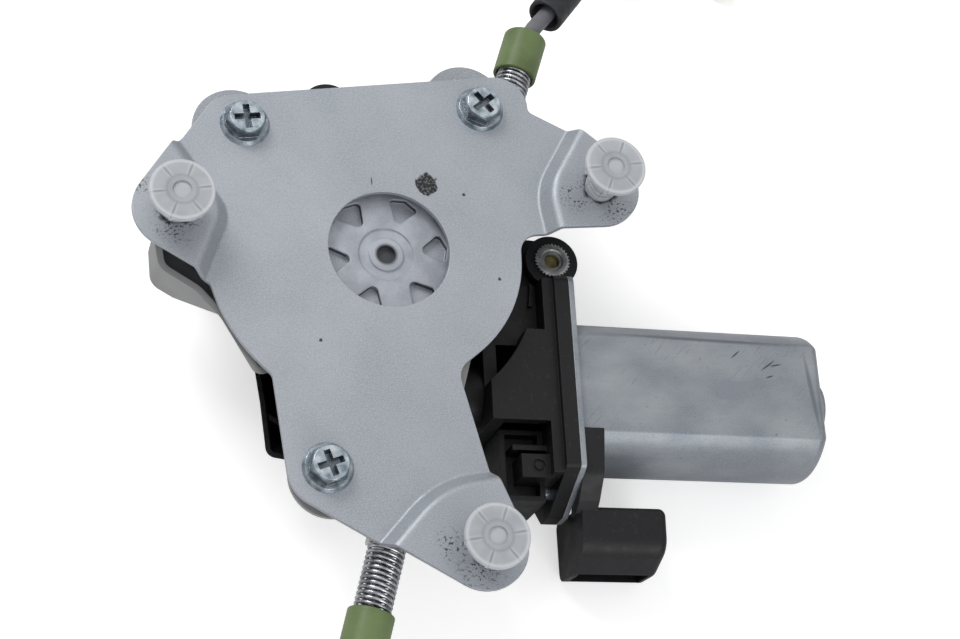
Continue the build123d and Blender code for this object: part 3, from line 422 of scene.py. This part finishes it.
class Graph:
    """A node tree, built up by calls that each add a node and give its output."""

    def __init__(self, owner):
        owner.use_nodes = True
        self.tree = owner.node_tree

    def node(self, kind, **attributes):
        made = self.tree.nodes.new(kind)
        for name, value in attributes.items():
            setattr(made, name, value)
        return made

    def feed(self, socket, value):
        """Link an output, or set a plain value."""
        if isinstance(value, bpy.types.NodeSocket):
            self.tree.links.new(value, socket)
        else:
            socket.default_value = value

    def math(self, operation, a, b, clamp=False):
        made = self.node("ShaderNodeMath", operation=operation, use_clamp=clamp)
        self.feed(made.inputs[0], a)
        self.feed(made.inputs[1], b)
        return made.outputs[0]

    def vector_math(self, operation, a, b=None):
        made = self.node("ShaderNodeVectorMath", operation=operation)
        self.feed(made.inputs[0], a)
        if b is not None:
            self.feed(made.inputs[1], b)
        return made.outputs["Value" if operation in ("LENGTH", "DOT_PRODUCT") else "Vector"]

    def spread(self, value, low, high, to_low=0.0, to_high=1.0):
        """Stretch a value from one range to another and clamp it."""
        made = self.node("ShaderNodeMapRange")
        self.feed(made.inputs["Value"], value)
        limits = {"From Min": low, "From Max": high, "To Min": to_low, "To Max": to_high}
        for socket, limit in limits.items():
            made.inputs[socket].default_value = limit
        return made.outputs["Result"]

    def height(self, vector):
        """A vector's Z."""
        apart = self.node("ShaderNodeSeparateXYZ")
        self.feed(apart.inputs[0], vector)
        return apart.outputs["Z"]

    def colour_mix(self, share, a, b):
        """Two colours mixed, linked by number since the node's sockets share their names."""
        made = self.node("ShaderNodeMix", data_type="RGBA")
        self.feed(made.inputs[0], share)
        for socket, colour in ((made.inputs[6], a), (made.inputs[7], b)):
            self.feed(socket, colour if isinstance(colour, bpy.types.NodeSocket) else linear(*colour))
        return made.outputs[2]


# The bevelled normal's product with the face's own, where an edge's painted highlight starts to show and
# where it shows in full
EDGE_STARTS = 0.92
EDGE_FULL = 0.75
EVERY_HEIGHT = 1000  # a streak's reach in Z, so that it shows at any height


class Surface(Graph):
    """A principled material made from noise, marks and relief, all in the frame's own space."""

    def __init__(self, name, **settings):
        self.material = bpy.data.materials.new(name)
        super().__init__(self.material)
        self.shader = self.tree.nodes["Principled BSDF"]
        for socket, value in settings.items():
            self.shader.inputs[socket.replace("_", " ")].default_value = value
        self.place = self.node("ShaderNodeTexCoord").outputs["Object"]
        self.normal = None

    def mapped(self, place=(0, 0, 0), scale=(1, 1, 1), turn=0.0):
        """The position as a texture that is moved, stretched and turned about Z sees it."""
        mapping = self.node("ShaderNodeMapping", vector_type="TEXTURE")
        mapping.inputs["Location"].default_value = place
        mapping.inputs["Rotation"].default_value = (0, 0, turn)
        mapping.inputs["Scale"].default_value = scale
        self.feed(mapping.inputs["Vector"], self.place)
        return mapping.outputs[0]

    def noise(self, size, detail=3.0, stretch=(1, 1, 1), turn=0.0):
        """Noise with blotches of about that size, longer along an axis whose stretch is above 1."""
        made = self.node("ShaderNodeTexNoise")
        made.inputs["Scale"].default_value = 1 / size
        made.inputs["Detail"].default_value = detail
        self.feed(made.inputs["Vector"], self.mapped(scale=stretch, turn=turn))
        return made.outputs["Fac"]

    def patches(self, size, detail, low, high, weakest=0.0, strongest=1.0):
        """Blotches of about that size, where the noise passes from a low to a high level."""
        return self.spread(self.noise(size, detail), low, high, weakest, strongest)

    def tint(self, colour, share, mark, strength=None):
        """A colour with a mark's colour over a share of it."""
        if strength is not None:
            share = self.math("MULTIPLY", share, strength)
        return self.colour_mix(share, colour, mark)

    def spot(self, centre, radius, softness=0.3, ragged=0.0):
        """1 inside a round mark and 0 outside, with a ragged edge, at any height."""
        away = self.vector_math("SUBTRACT", self.place, centre)
        distance = self.vector_math("LENGTH", self.vector_math("MULTIPLY", away, (1, 1, 0)))
        if ragged:
            wander = self.spread(self.noise(radius * 0.6), 0, 1, -1, 1)
            distance = self.math("ADD", distance, self.math("MULTIPLY", wander, ragged * radius))
        return self.spread(distance, radius * (1 - softness), radius, 1.0, 0.0)

    def ring(self, centre, radius, width, ragged=0.4):
        """1 on a round line about a centre."""
        outer = self.spot(centre, radius + width / 2, width / radius, ragged)
        inner = self.spot(centre, radius - width / 2, width / radius, ragged)
        return self.math("SUBTRACT", outer, inner, clamp=True)

    def streak(self, start, end, width):
        """1 along a short scratch between two places of a level face."""
        middle = (Vector(start) + Vector(end)) / 2
        run = Vector(end) - Vector(start)
        reach = (run.length / 2, width / 2, EVERY_HEIGHT)
        distance = self.vector_math("LENGTH", self.mapped(middle, reach, math.atan2(run.y, run.x)))
        return self.spread(distance, 0.5, 1.0, 1.0, 0.0)

    def level(self, low, high):
        """0 below one height and 1 above another."""
        return self.spread(self.height(self.place), low, high)

    def edges(self, width):
        """1 on the sharp edges, and rounds them in the shading."""
        rounded = self.node("ShaderNodeBevel", samples=4)
        rounded.inputs["Radius"].default_value = width
        self.normal = rounded.outputs[0]
        flat = self.node("ShaderNodeNewGeometry").outputs["Normal"]
        return self.spread(self.vector_math("DOT_PRODUCT", self.normal, flat), EDGE_STARTS, EDGE_FULL)

    def relief(self, height, depth):
        """Raise the surface by a height of 0 to 1 times a depth."""
        made = self.node("ShaderNodeBump")
        made.inputs["Distance"].default_value = depth
        self.feed(made.inputs["Height"], height)
        if self.normal is not None:
            self.feed(made.inputs["Normal"], self.normal)
        self.normal = made.outputs[0]

    def finish(self, colour, roughness):
        self.feed(self.shader.inputs["Base Color"], colour)
        self.feed(self.shader.inputs["Roughness"], roughness)
        if self.normal is not None:
            self.feed(self.shader.inputs["Normal"], self.normal)
        return self.material


# Metals; colours are as on a screen, and the pairs after a detail are the noise's levels
DULL_METAL = {"Metallic": 0.4, "Specular_IOR_Level": 0.5}


def plated_sheet(name, tone, dark, light, marks=False):
    """Zinc-plated steel: a soft grey with a sandy grain, slow blotches and painted highlights on its edges.
    """
    metal = Surface(name, **DULL_METAL)
    edge = metal.edges(0.35 * MM)
    grain = metal.noise(0.36 * MM)
    colour = metal.colour_mix(metal.patches(30 * MM, 4, 0.35, 0.65, 0.3, 1), dark, tone)
    colour = metal.tint(colour, metal.spread(grain, 0.4, 0.7, 0, 0.65), light)
    colour = metal.tint(colour, metal.patches(0.7 * MM, 5, 0.54, 0.72, 0, 0.4), dark)
    # painted highlight along the sharp edges
    colour = metal.tint(colour, edge, (212, 216, 222), 0.8)
    if marks:
        colour = add_plate_marks(metal, colour)
    metal.relief(grain, 0.02 * MM)
    metal.relief(metal.noise(6 * MM, 2), 0.02 * MM)
    return metal.finish(colour, metal.patches(9 * MM, 4, 0.3, 0.7, 0.4, 0.52))


EARS = ((-60 * MM, 6 * MM, 0), (62 * MM, 21.4 * MM, 0), (21.9 * MM, -86.8 * MM, 0))
CLIP_SHADOW_R = 5.1 * MM  # the painted shadow ring in the gap round each clip's stem on its ear
RUBBED_R = 12 * MM
BLACK_DAB = (11.7 * MM, 20.8 * MM, 0)
BLACK_DAB_R = 3.6 * MM
DIRT = (  # place, radius
    ((-60.2 * MM, 1.0 * MM, 0), 8 * MM),
    ((-69.7 * MM, 12.1 * MM, 0), 4.5 * MM),
    ((54.8 * MM, 18.7 * MM, 0), 7 * MM),
    ((66.2 * MM, 14.5 * MM, 0), 7 * MM),
    ((20.0 * MM, -92.9 * MM, 0), 8 * MM),
    ((12.5 * MM, -86.5 * MM, 0), 6 * MM),
)
SPECKS = ((22.4 * MM, 18.3 * MM, 0), (-20.2 * MM, -28.5 * MM, 0), (31.6 * MM, -7.3 * MM, 0))
SPECK_R = 0.6 * MM
PLATE_SCRATCH = ((-4.6 * MM, 22.1 * MM, 0), (-4.4 * MM, 18.9 * MM, 0))


def add_plate_marks(metal, colour):
    """The dab, scratch and specks on the plate, the dirt that the clips leave on its ears, and a painted
    shadow ring round each clip's stem.
    """
    flecks = metal.patches(0.8 * MM, 6, 0.555, 0.58)
    speckled = metal.math("MULTIPLY", flecks, metal.patches(3.5 * MM, 3, 0.42, 0.5))
    for centre, radius in DIRT:
        near = metal.math("MULTIPLY", metal.spot(centre, radius, 0.7), speckled)
        colour = metal.tint(colour, near, (40, 38, 35), 0.9)
    for ear in EARS:
        smear = metal.patches(2.5 * MM, 4, 0.5, 0.7)
        rubbed = metal.math("MULTIPLY", metal.spot(ear, RUBBED_R, 0.5), smear)
        colour = metal.tint(colour, rubbed, (120, 126, 126), 0.2)
        # painted shadow in the gap round the clip's stem
        colour = metal.tint(colour, metal.ring(ear, CLIP_SHADOW_R, 1.0 * MM), (40, 40, 42))
    for speck in SPECKS:
        colour = metal.tint(colour, metal.spot(speck, SPECK_R, 0.4, 0.3), (60, 58, 58))
    colour = metal.tint(colour, metal.streak(*PLATE_SCRATCH, 0.5 * MM), (70, 70, 74))
    crust = metal.colour_mix(metal.patches(0.7 * MM, 4, 0.5, 0.64), (34, 34, 37), (108, 110, 114))
    return metal.tint(colour, metal.spot(BLACK_DAB, BLACK_DAB_R, 0.12, 0.5), crust)


# Darker lines along the can's top edge and along its right end
CAN_DARK_LINES = (
    ((127.5 * MM, -19.5 * MM, 0), (130.5 * MM, -48.0 * MM, 0)),
    ((62.0 * MM, -17.5 * MM, 0), (127.0 * MM, -19.0 * MM, 0)),
)
CAN_SCRATCH_TURN = math.radians(48)
CAN_SCRATCHES = (
    ((113.0 * MM, -27.5 * MM, 0), (118.5 * MM, -23.5 * MM, 0)),
    ((114.5 * MM, -29.5 * MM, 0), (117.5 * MM, -28.5 * MM, 0)),
    ((116.0 * MM, -25.8 * MM, 0), (120.5 * MM, -24.8 * MM, 0)),
    ((104.0 * MM, -24.0 * MM, 0), (107.5 * MM, -21.0 * MM, 0)),
)
ALONG_CAN = (14, 1, 1)  # how far each kind of mark is stretched
STAIN_STRETCH = (1.6, 1, 1)
SCRATCH_STRETCH = (20, 1, 1)


def drawn_can():
    """The deep-drawn motor can: grainy grey with faint draw lines, darker lines along its top edge and right
    end, stains, scratches and painted highlights on its edges.
    """
    metal = Surface("drawn_steel_can", **DULL_METAL)
    edge = metal.edges(0.5 * MM)
    grain = metal.noise(0.3 * MM)
    stain = metal.spread(metal.noise(13 * MM, 5, STAIN_STRETCH), 0.4, 0.7)
    colour = metal.colour_mix(stain, (124, 130, 139), (150, 155, 160))
    colour = metal.tint(colour, metal.spread(grain, 0.4, 0.75, 0, 0.4), (178, 183, 188))
    draw_lines = metal.spread(metal.noise(0.5 * MM, 2, ALONG_CAN), 0.55, 0.8, 0, 0.25)
    colour = metal.tint(colour, draw_lines, (112, 117, 124))
    colour = metal.tint(colour, metal.patches(1.4 * MM, 4, 0.68, 0.76, 0, 0.6), (92, 96, 102))
    fine = metal.spread(metal.noise(0.35 * MM, 2, SCRATCH_STRETCH, CAN_SCRATCH_TURN), 0.6, 0.68)
    scuffed = metal.math("MULTIPLY", fine, metal.patches(9 * MM, 2, 0.5, 0.62, 0, 0.45))
    colour = metal.tint(colour, scuffed, (86, 90, 96))
    for start, end in CAN_DARK_LINES:
        colour = metal.tint(colour, metal.streak(start, end, 1.8 * MM), (92, 98, 106), 0.65)
    for start, end in CAN_SCRATCHES:
        colour = metal.tint(colour, metal.streak(start, end, 0.6 * MM), (66, 68, 72))
    # painted highlight along the sharp edges
    colour = metal.tint(colour, edge, (198, 202, 206), 0.6)
    metal.relief(grain, 0.015 * MM)
    metal.relief(metal.noise(7 * MM, 2), 0.04 * MM)
    return metal.finish(colour, metal.patches(12 * MM, 4, 0.3, 0.7, 0.32, 0.46))


HUB = (0, 0, 0)
HUB_FACE_R = 11.5 * MM
HUB_BORE_R = 3.6 * MM
ARM_WALLS = (-9.9 * MM, -9.3 * MM)  # heights between which the painted shade on a wall below the arms' face fades out
POCKET_FLOOR = (-10.98 * MM, -10.85 * MM)  # heights between which the painted light on a pocket's floor ends


def cast_metal():
    """Die-cast drum: a grainy satin grey with painted highlights on the arms' edges, painted shade on the
    walls below the arms, painted light on the pocket floors and painted shade in the hub's bore.
    """
    metal = Surface("die_cast_metal", **DULL_METAL)
    edge = metal.edges(0.6 * MM)
    grain = metal.noise(0.5 * MM, 4)
    colour = metal.colour_mix(metal.patches(7 * MM, 4, 0.35, 0.65), (152, 157, 166), (176, 181, 190))
    colour = metal.tint(colour, metal.spread(grain, 0.55, 0.8, 0, 0.4), (110, 115, 124))
    # painted highlight along the arms' sharp edges
    colour = metal.tint(colour, edge, (190, 195, 201), 0.6)
    # painted shade on the walls below the arms, outside the hub's face
    wall_shade = metal.math("SUBTRACT", 1.0, metal.level(*ARM_WALLS))
    outside = metal.math("SUBTRACT", 0.9, metal.spot(HUB, HUB_FACE_R, 0.05), clamp=True)
    colour = metal.tint(colour, metal.math("MULTIPLY", wall_shade, outside), (36, 38, 42))
    # painted light on the pocket floors, which makes them paler than the arms
    floor = metal.math("SUBTRACT", 1.0, metal.level(*POCKET_FLOOR))
    pocket = metal.colour_mix(metal.spread(grain, 0.4, 0.7), (164, 169, 178), (186, 191, 200))
    colour = metal.tint(colour, floor, pocket)
    # painted shade in the hub's bore
    colour = metal.tint(colour, metal.spot(HUB, HUB_BORE_R, 0.25), (70, 72, 76))
    metal.relief(grain, 0.04 * MM)
    return metal.finish(colour, metal.spread(grain, 0.3, 0.7, 0.4, 0.58))


# Heights on a flange screw: its flange's top, and where the shade on the head's sides starts to fade and ends
SCREW_SHADE = (-3.75 * MM, -1.6 * MM, -0.3 * MM)
SHADE_EDGE = 0.1 * MM


def bright_metal(name, tone, dark, roughness, metallic=0.9, shaded=None):
    """Bright or ground metal with darker blotches, fine grain, painted highlights on its edges, and painted
    shade on its sides.
    """
    metal = Surface(name, Metallic=metallic, Specular_IOR_Level=0.5)
    edge = metal.edges(0.25 * MM)
    colour = metal.colour_mix(metal.patches(2.5 * MM, 5, 0.35, 0.7), tone, dark)
    if shaded:
        flange, low, high = shaded
        above_flange = metal.level(flange, flange + SHADE_EDGE)
        side = metal.math("SUBTRACT", above_flange, metal.level(low, high), clamp=True)
        # painted shade on the head's sides, between its flange and its top
        colour = metal.tint(colour, side, (58, 66, 74), 0.75)
    # painted highlight along the sharp edges
    colour = metal.tint(colour, edge, (225, 225, 225), 0.4)
    metal.relief(metal.noise(0.3 * MM), 0.015 * MM)
    return metal.finish(colour, metal.patches(1.5 * MM, 4, 0.3, 0.7, roughness, roughness + 0.18))


STRAND_STEP = 3.2 * MM


def stranded_cable():
    """Bare cable, its strands laid at a slant, with painted shade between the strands and painted highlights
    on them.
    """
    metal = Surface("stranded_cable", Metallic=0.8, Specular_IOR_Level=0.5)
    wave = metal.node("ShaderNodeTexWave", bands_direction="DIAGONAL")
    wave.inputs["Scale"].default_value = 1 / STRAND_STEP
    wave.inputs["Distortion"].default_value = 0.6
    metal.feed(wave.inputs["Vector"], metal.place)
    strand = wave.outputs["Fac"]
    # painted shade in the grooves between strands and painted highlight on their crests
    colour = metal.colour_mix(strand, (70, 68, 64), (168, 166, 160))
    colour = metal.tint(colour, metal.patches(3 * MM, 3, 0.5, 0.7, 0, 0.5), (60, 54, 44))
    metal.relief(strand, 0.15 * MM)
    return metal.finish(colour, metal.patches(2 * MM, 3, 0.3, 0.7, 0.3, 0.5))


# Plastics
def moulded(name, tone, dark, light, roughness, dust=0.0):
    """Moulded plastic: an even tone with slow variation, fine spark grain, painted highlights on its edges
    and some dust.
    """
    plastic = Surface(name, Specular_IOR_Level=0.3)
    edge = plastic.edges(0.3 * MM)
    colour = plastic.colour_mix(plastic.patches(16 * MM, 3, 0.35, 0.65), dark, tone)
    colour = plastic.tint(colour, plastic.patches(0.5 * MM, 3, 0.55, 0.8, 0, 0.25), light)
    # painted highlight along the sharp edges
    colour = plastic.tint(colour, edge, light, 0.5)
    if dust:
        colour = plastic.tint(colour, plastic.patches(1.6 * MM, 6, 0.6, 0.75), (120, 117, 112), dust)
    plastic.relief(plastic.noise(0.25 * MM, 2), 0.02 * MM)
    plastic.relief(plastic.noise(6 * MM, 2), 0.03 * MM)
    return plastic.finish(colour, plastic.patches(4 * MM, 4, 0.3, 0.7, roughness, roughness + 0.12))


CLIP_STEM_R = 4.5 * MM
CLIP_CAP_R = 8.9 * MM
CLIP_DIMPLE_R = 2.6 * MM
CLIP_RIBS = 6
RIB_TURN = 10  # degrees
RIB_OVERRUN = 1.5 * MM  # by which a rib's soft ends pass the stem and the rim


def nylon():
    """Natural nylon, so thin in the caps that the stem and the ribs show through, with a painted highlight on
    each cap's rim.
    """
    plastic = Surface("natural_nylon", Specular_IOR_Level=0.45, Transmission_Weight=0.3, IOR=1.2)
    cloud = plastic.patches(4 * MM, 3, 0.3, 0.7)
    colour = plastic.colour_mix(cloud, (192, 196, 201), (206, 210, 214))
    for ear in EARS:
        for number in range(CLIP_RIBS):
            angle = math.radians(360 / CLIP_RIBS * number + RIB_TURN)
            away = Vector((math.cos(angle), math.sin(angle), 0))
            start = Vector(ear) + away * (CLIP_STEM_R - RIB_OVERRUN)
            end = Vector(ear) + away * (CLIP_CAP_R + RIB_OVERRUN)
            colour = plastic.tint(colour, plastic.streak(start, end, 2.2 * MM), (222, 225, 228), 0.6)
            colour = plastic.tint(colour, plastic.streak(start, end, 0.9 * MM), (164, 168, 173), 0.8)
        stem = plastic.ring(ear, CLIP_STEM_R, 0.7 * MM, ragged=0)
        colour = plastic.tint(colour, stem, (166, 170, 175), 0.6)
        colour = plastic.tint(colour, plastic.spot(ear, CLIP_DIMPLE_R, 0.2), (232, 235, 238), 0.6)
        # painted highlight on each cap's rim
        rim = plastic.ring(ear, CLIP_CAP_R - 0.2 * MM, 0.8 * MM, ragged=0)
        colour = plastic.tint(colour, rim, (240, 242, 244), 0.8)
    return plastic.finish(colour, plastic.spread(cloud, 0, 1, 0.3, 0.38))


def rubbed_hose(name, tone, dark, light, roughness):
    """Extruded plastic or rubber with slow blotches and dull rubs."""
    hose = Surface(name, Specular_IOR_Level=0.4)
    colour = hose.colour_mix(hose.patches(3 * MM, 5, 0.35, 0.7), dark, tone)
    colour = hose.tint(colour, hose.patches(0.8 * MM, 4, 0.58, 0.75, 0, 0.35), light)
    hose.relief(hose.noise(0.5 * MM), 0.015 * MM)
    hose.relief(hose.noise(4 * MM, 2), 0.03 * MM)
    return hose.finish(colour, hose.patches(2 * MM, 3, 0.3, 0.7, roughness, roughness + 0.2))


PLATED = {  # name, tone, dark, light, with marks
    "plate": ("plated_plate", (164, 168, 176), (144, 151, 159), (190, 194, 200), True),
    "plated": ("plated_steel", (150, 155, 162), (128, 134, 142), (196, 199, 204)),
}
BRIGHT = {  # name, tone, dark, roughness, metallic, shade
    "ground": ("ground_steel", (176, 178, 182), (140, 143, 148), 0.24),
    "spring": ("spring_wire", (196, 198, 202), (120, 122, 128), 0.16, 0.95),
    "zinc": ("bright_zinc", (190, 199, 206), (122, 136, 146), 0.16),
    "screw": ("screw_zinc", (190, 199, 206), (112, 126, 137), 0.16, 0.9, SCREW_SHADE),
    "insert": ("insert_steel", (160, 161, 160), (112, 113, 114), 0.3),
    "brass": ("yellow_brass", (150, 138, 92), (88, 82, 55), 0.34, 0.7),
    "copper": ("copper_wire", (184, 112, 72), (120, 66, 40), 0.3),
    "laminated": ("laminated_steel", (110, 112, 116), (70, 72, 76), 0.4),
}
MOULDED = {  # name, tone, dark, light, roughness, dust
    # painted shade: the drum housing's white nylon is given the grey tone that its lobes take in shade
    "grey": ("grey_moulding", (158, 158, 158), (144, 145, 147), (180, 180, 179), 0.5),
    "white": ("white_moulding", (228, 228, 225), (210, 210, 207), (244, 244, 242), 0.38),
    "black": ("black_moulding", (12, 12, 15), (8, 8, 11), (48, 48, 53), 0.42, 0.07),
    "deep": ("holder_moulding", (6, 6, 8), (4, 4, 5), (26, 26, 29), 0.5),
    "shroud": ("shroud_moulding", (19, 19, 23), (13, 13, 17), (60, 60, 63), 0.4, 0.07),
    "green": ("green_moulding", (112, 130, 86), (90, 106, 66), (140, 156, 116), 0.34),
    "wheel": ("wheel_moulding", (214, 208, 188), (196, 190, 170), (228, 224, 208), 0.4),
}
RUBBED = {  # name, tone, dark, light, roughness
    "conduit": ("conduit_skin", (118, 118, 123), (105, 105, 111), (136, 136, 140), 0.38),
    "rubber": ("soft_rubber", (44, 45, 50), (34, 35, 40), (66, 67, 72), 0.38),
    "ferrite": ("ferrite_block", (56, 55, 58), (44, 43, 46), (74, 73, 76), 0.55),
}


def make_materials():
    made = {"can": drawn_can(), "cast": cast_metal(), "cable": stranded_cable(), "nylon": nylon()}
    kinds = ((plated_sheet, PLATED), (bright_metal, BRIGHT), (moulded, MOULDED), (rubbed_hose, RUBBED))
    for kind, rows in kinds:
        made.update((key, kind(*row)) for key, row in rows.items())
    return made


NODE_MATERIALS = {
    "plate": ["mounting_plate"],
    "plated": ["backing_plate", "upper_ferrule", "lower_ferrule"],
    "zinc": ["plate_screws", "yoke_screws"],
    "can": ["motor_yoke"],
    "cast": ["cable_drum"],
    "ground": ["shaft_pin", "worm", "armature_shaft", "thrust_pad"],
    "spring": ["upper_spring", "lower_spring"],
    "insert": ["lug_inserts"],
    "brass": ["rear_bearing", "front_bearing", "lug_screws", "connector_pins"],
    "copper": ["armature_windings", "commutator"],
    "laminated": ["armature_core"],
    "cable": ["upper_cable", "lower_cable", "drum_cable", "upper_cable_end", "lower_cable_end"],
    "grey": ["drum_housing"],
    "white": ["upper_socket", "lower_socket"],
    "nylon": ["left_clip", "right_clip", "lower_clip"],
    "black": ["gearbox_housing", "gearbox_cover", "drive_dog"],
    "deep": ["brush_holder"],
    "shroud": ["connector_shroud"],
    "green": ["upper_sleeve", "lower_sleeve"],
    "wheel": ["worm_wheel"],
    "conduit": ["upper_conduit", "lower_conduit", "upper_coil", "lower_coil"],
    "rubber": ["damper", "rattle_tube"],
    "ferrite": ["magnets", "brushes"],
}


def paint(piece, material):
    piece.data.materials.clear()
    piece.data.materials.append(material)


def paint_nodes(materials):
    for name, nodes in NODE_MATERIALS.items():
        for node in nodes:
            paint(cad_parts[node], materials[name])


# Floor, light and background
FLOOR_HALF = 3.0
FLOOR_GREY = 0.86
FLOOR_GLOW = 0.5
WORLD_LIGHT = 0.5
HORIZON_LIGHT = 0.2
HORIZON_TO = 0.05  # height of a direction below which reflections are at their darkest
SKY_FROM = 0.65  # and above which they are white
# name, place, power in watts, size
LAMPS = (
    ("key", (-0.40, 0.50, 0.55), 3.6, 0.35),
    ("fill", (0.25, -0.80, 0.35), 2.4, 0.50),
)


def add_floor():
    """A pale floor that the object's back lies on; it keeps the shadow and is white to the camera."""
    corners = [(FLOOR_HALF * x, FLOOR_HALF * y, FLOOR_Z) for x, y in ((-1, -1), (1, -1), (1, 1), (-1, 1))]
    floor = add_mesh("floor", corners, [(0, 1, 2, 3)])
    material = bpy.data.materials.new("pale_floor")
    graph = Graph(material)
    graph.tree.nodes.clear()
    matt = graph.node("ShaderNodeBsdfDiffuse")
    matt.inputs["Color"].default_value = (FLOOR_GREY, FLOOR_GREY, FLOOR_GREY, 1)
    glow = graph.node("ShaderNodeEmission")
    to_camera = graph.node("ShaderNodeLightPath").outputs["Is Camera Ray"]
    graph.feed(glow.inputs["Strength"], graph.math("MULTIPLY", to_camera, FLOOR_GLOW))
    both = graph.node("ShaderNodeAddShader")
    graph.feed(both.inputs[0], matt.outputs[0])
    graph.feed(both.inputs[1], glow.outputs[0])
    graph.feed(graph.node("ShaderNodeOutputMaterial").inputs["Surface"], both.outputs[0])
    paint(floor, material)


def add_world():
    """White behind the object, a softer light on it, and reflections that darken towards the horizon."""
    world = bpy.data.worlds.new("studio")
    graph = Graph(world)
    graph.tree.nodes.clear()
    rays = graph.node("ShaderNodeLightPath").outputs
    up = graph.height(graph.node("ShaderNodeTexCoord").outputs["Generated"])
    sky = graph.spread(up, HORIZON_TO, SKY_FROM, HORIZON_LIGHT, 1.0)
    light, white = graph.node("ShaderNodeBackground"), graph.node("ShaderNodeBackground")
    for background in (light, white):
        background.inputs["Color"].default_value = (1, 1, 1, 1)
    light.inputs["Strength"].default_value = WORLD_LIGHT
    graph.feed(white.inputs["Strength"], graph.math("MAXIMUM", rays["Is Camera Ray"], sky))
    seen = graph.math("MAXIMUM", rays["Is Camera Ray"], rays["Is Glossy Ray"])
    shown = graph.math("MAXIMUM", seen, rays["Is Transmission Ray"])
    mix = graph.node("ShaderNodeMixShader")
    graph.feed(mix.inputs["Fac"], shown)
    graph.feed(mix.inputs[1], light.outputs[0])
    graph.feed(mix.inputs[2], white.outputs[0])
    graph.feed(graph.node("ShaderNodeOutputWorld").inputs["Surface"], mix.outputs[0])
    bpy.context.scene.world = world


def add_lamps():
    """Large soft lamps aimed at the object."""
    for name, place, power, size in LAMPS:
        data = bpy.data.lights.new(name, "AREA")
        data.energy = power
        data.size = size
        lamp = add_object(name, data)
        lamp.location = place
        lamp.rotation_euler = (-Vector(place)).to_track_quat("-Z", "Y").to_euler()


# Build the scene
add_camera()
upper_hose, lower_hose = add_hoses()
upper_line = centre_line(upper_hose)
tube_start = nearest_distance(upper_line, UPPER_EXIT)
slack_tube = soft_tube(upper_line, tube_start + TUBE_FROM, tube_start + TUBE_TO)
materials = make_materials()
paint_nodes(materials)
for hose in (upper_hose, lower_hose):
    paint(hose, materials["conduit"])
paint(slack_tube, materials["rubber"])
for knurl in add_knurls():
    paint(knurl, materials["insert"])
for spring in add_springs():
    paint(spring, materials["spring"])
paint(reshaped("plate_screws", "flange_screws", flared), materials["screw"])
for node, slot, material in LUG_PIECES:
    paint(reshaped(node, f"seated_{node}", lug_moved), materials[material])
paint(reshaped("right_clip", "raised_clip", lifted), materials["nylon"])
add_floor()
add_world()
add_lamps()
bpy.context.scene.view_settings.view_transform = "Standard"

bpy.context.view_layer.update()
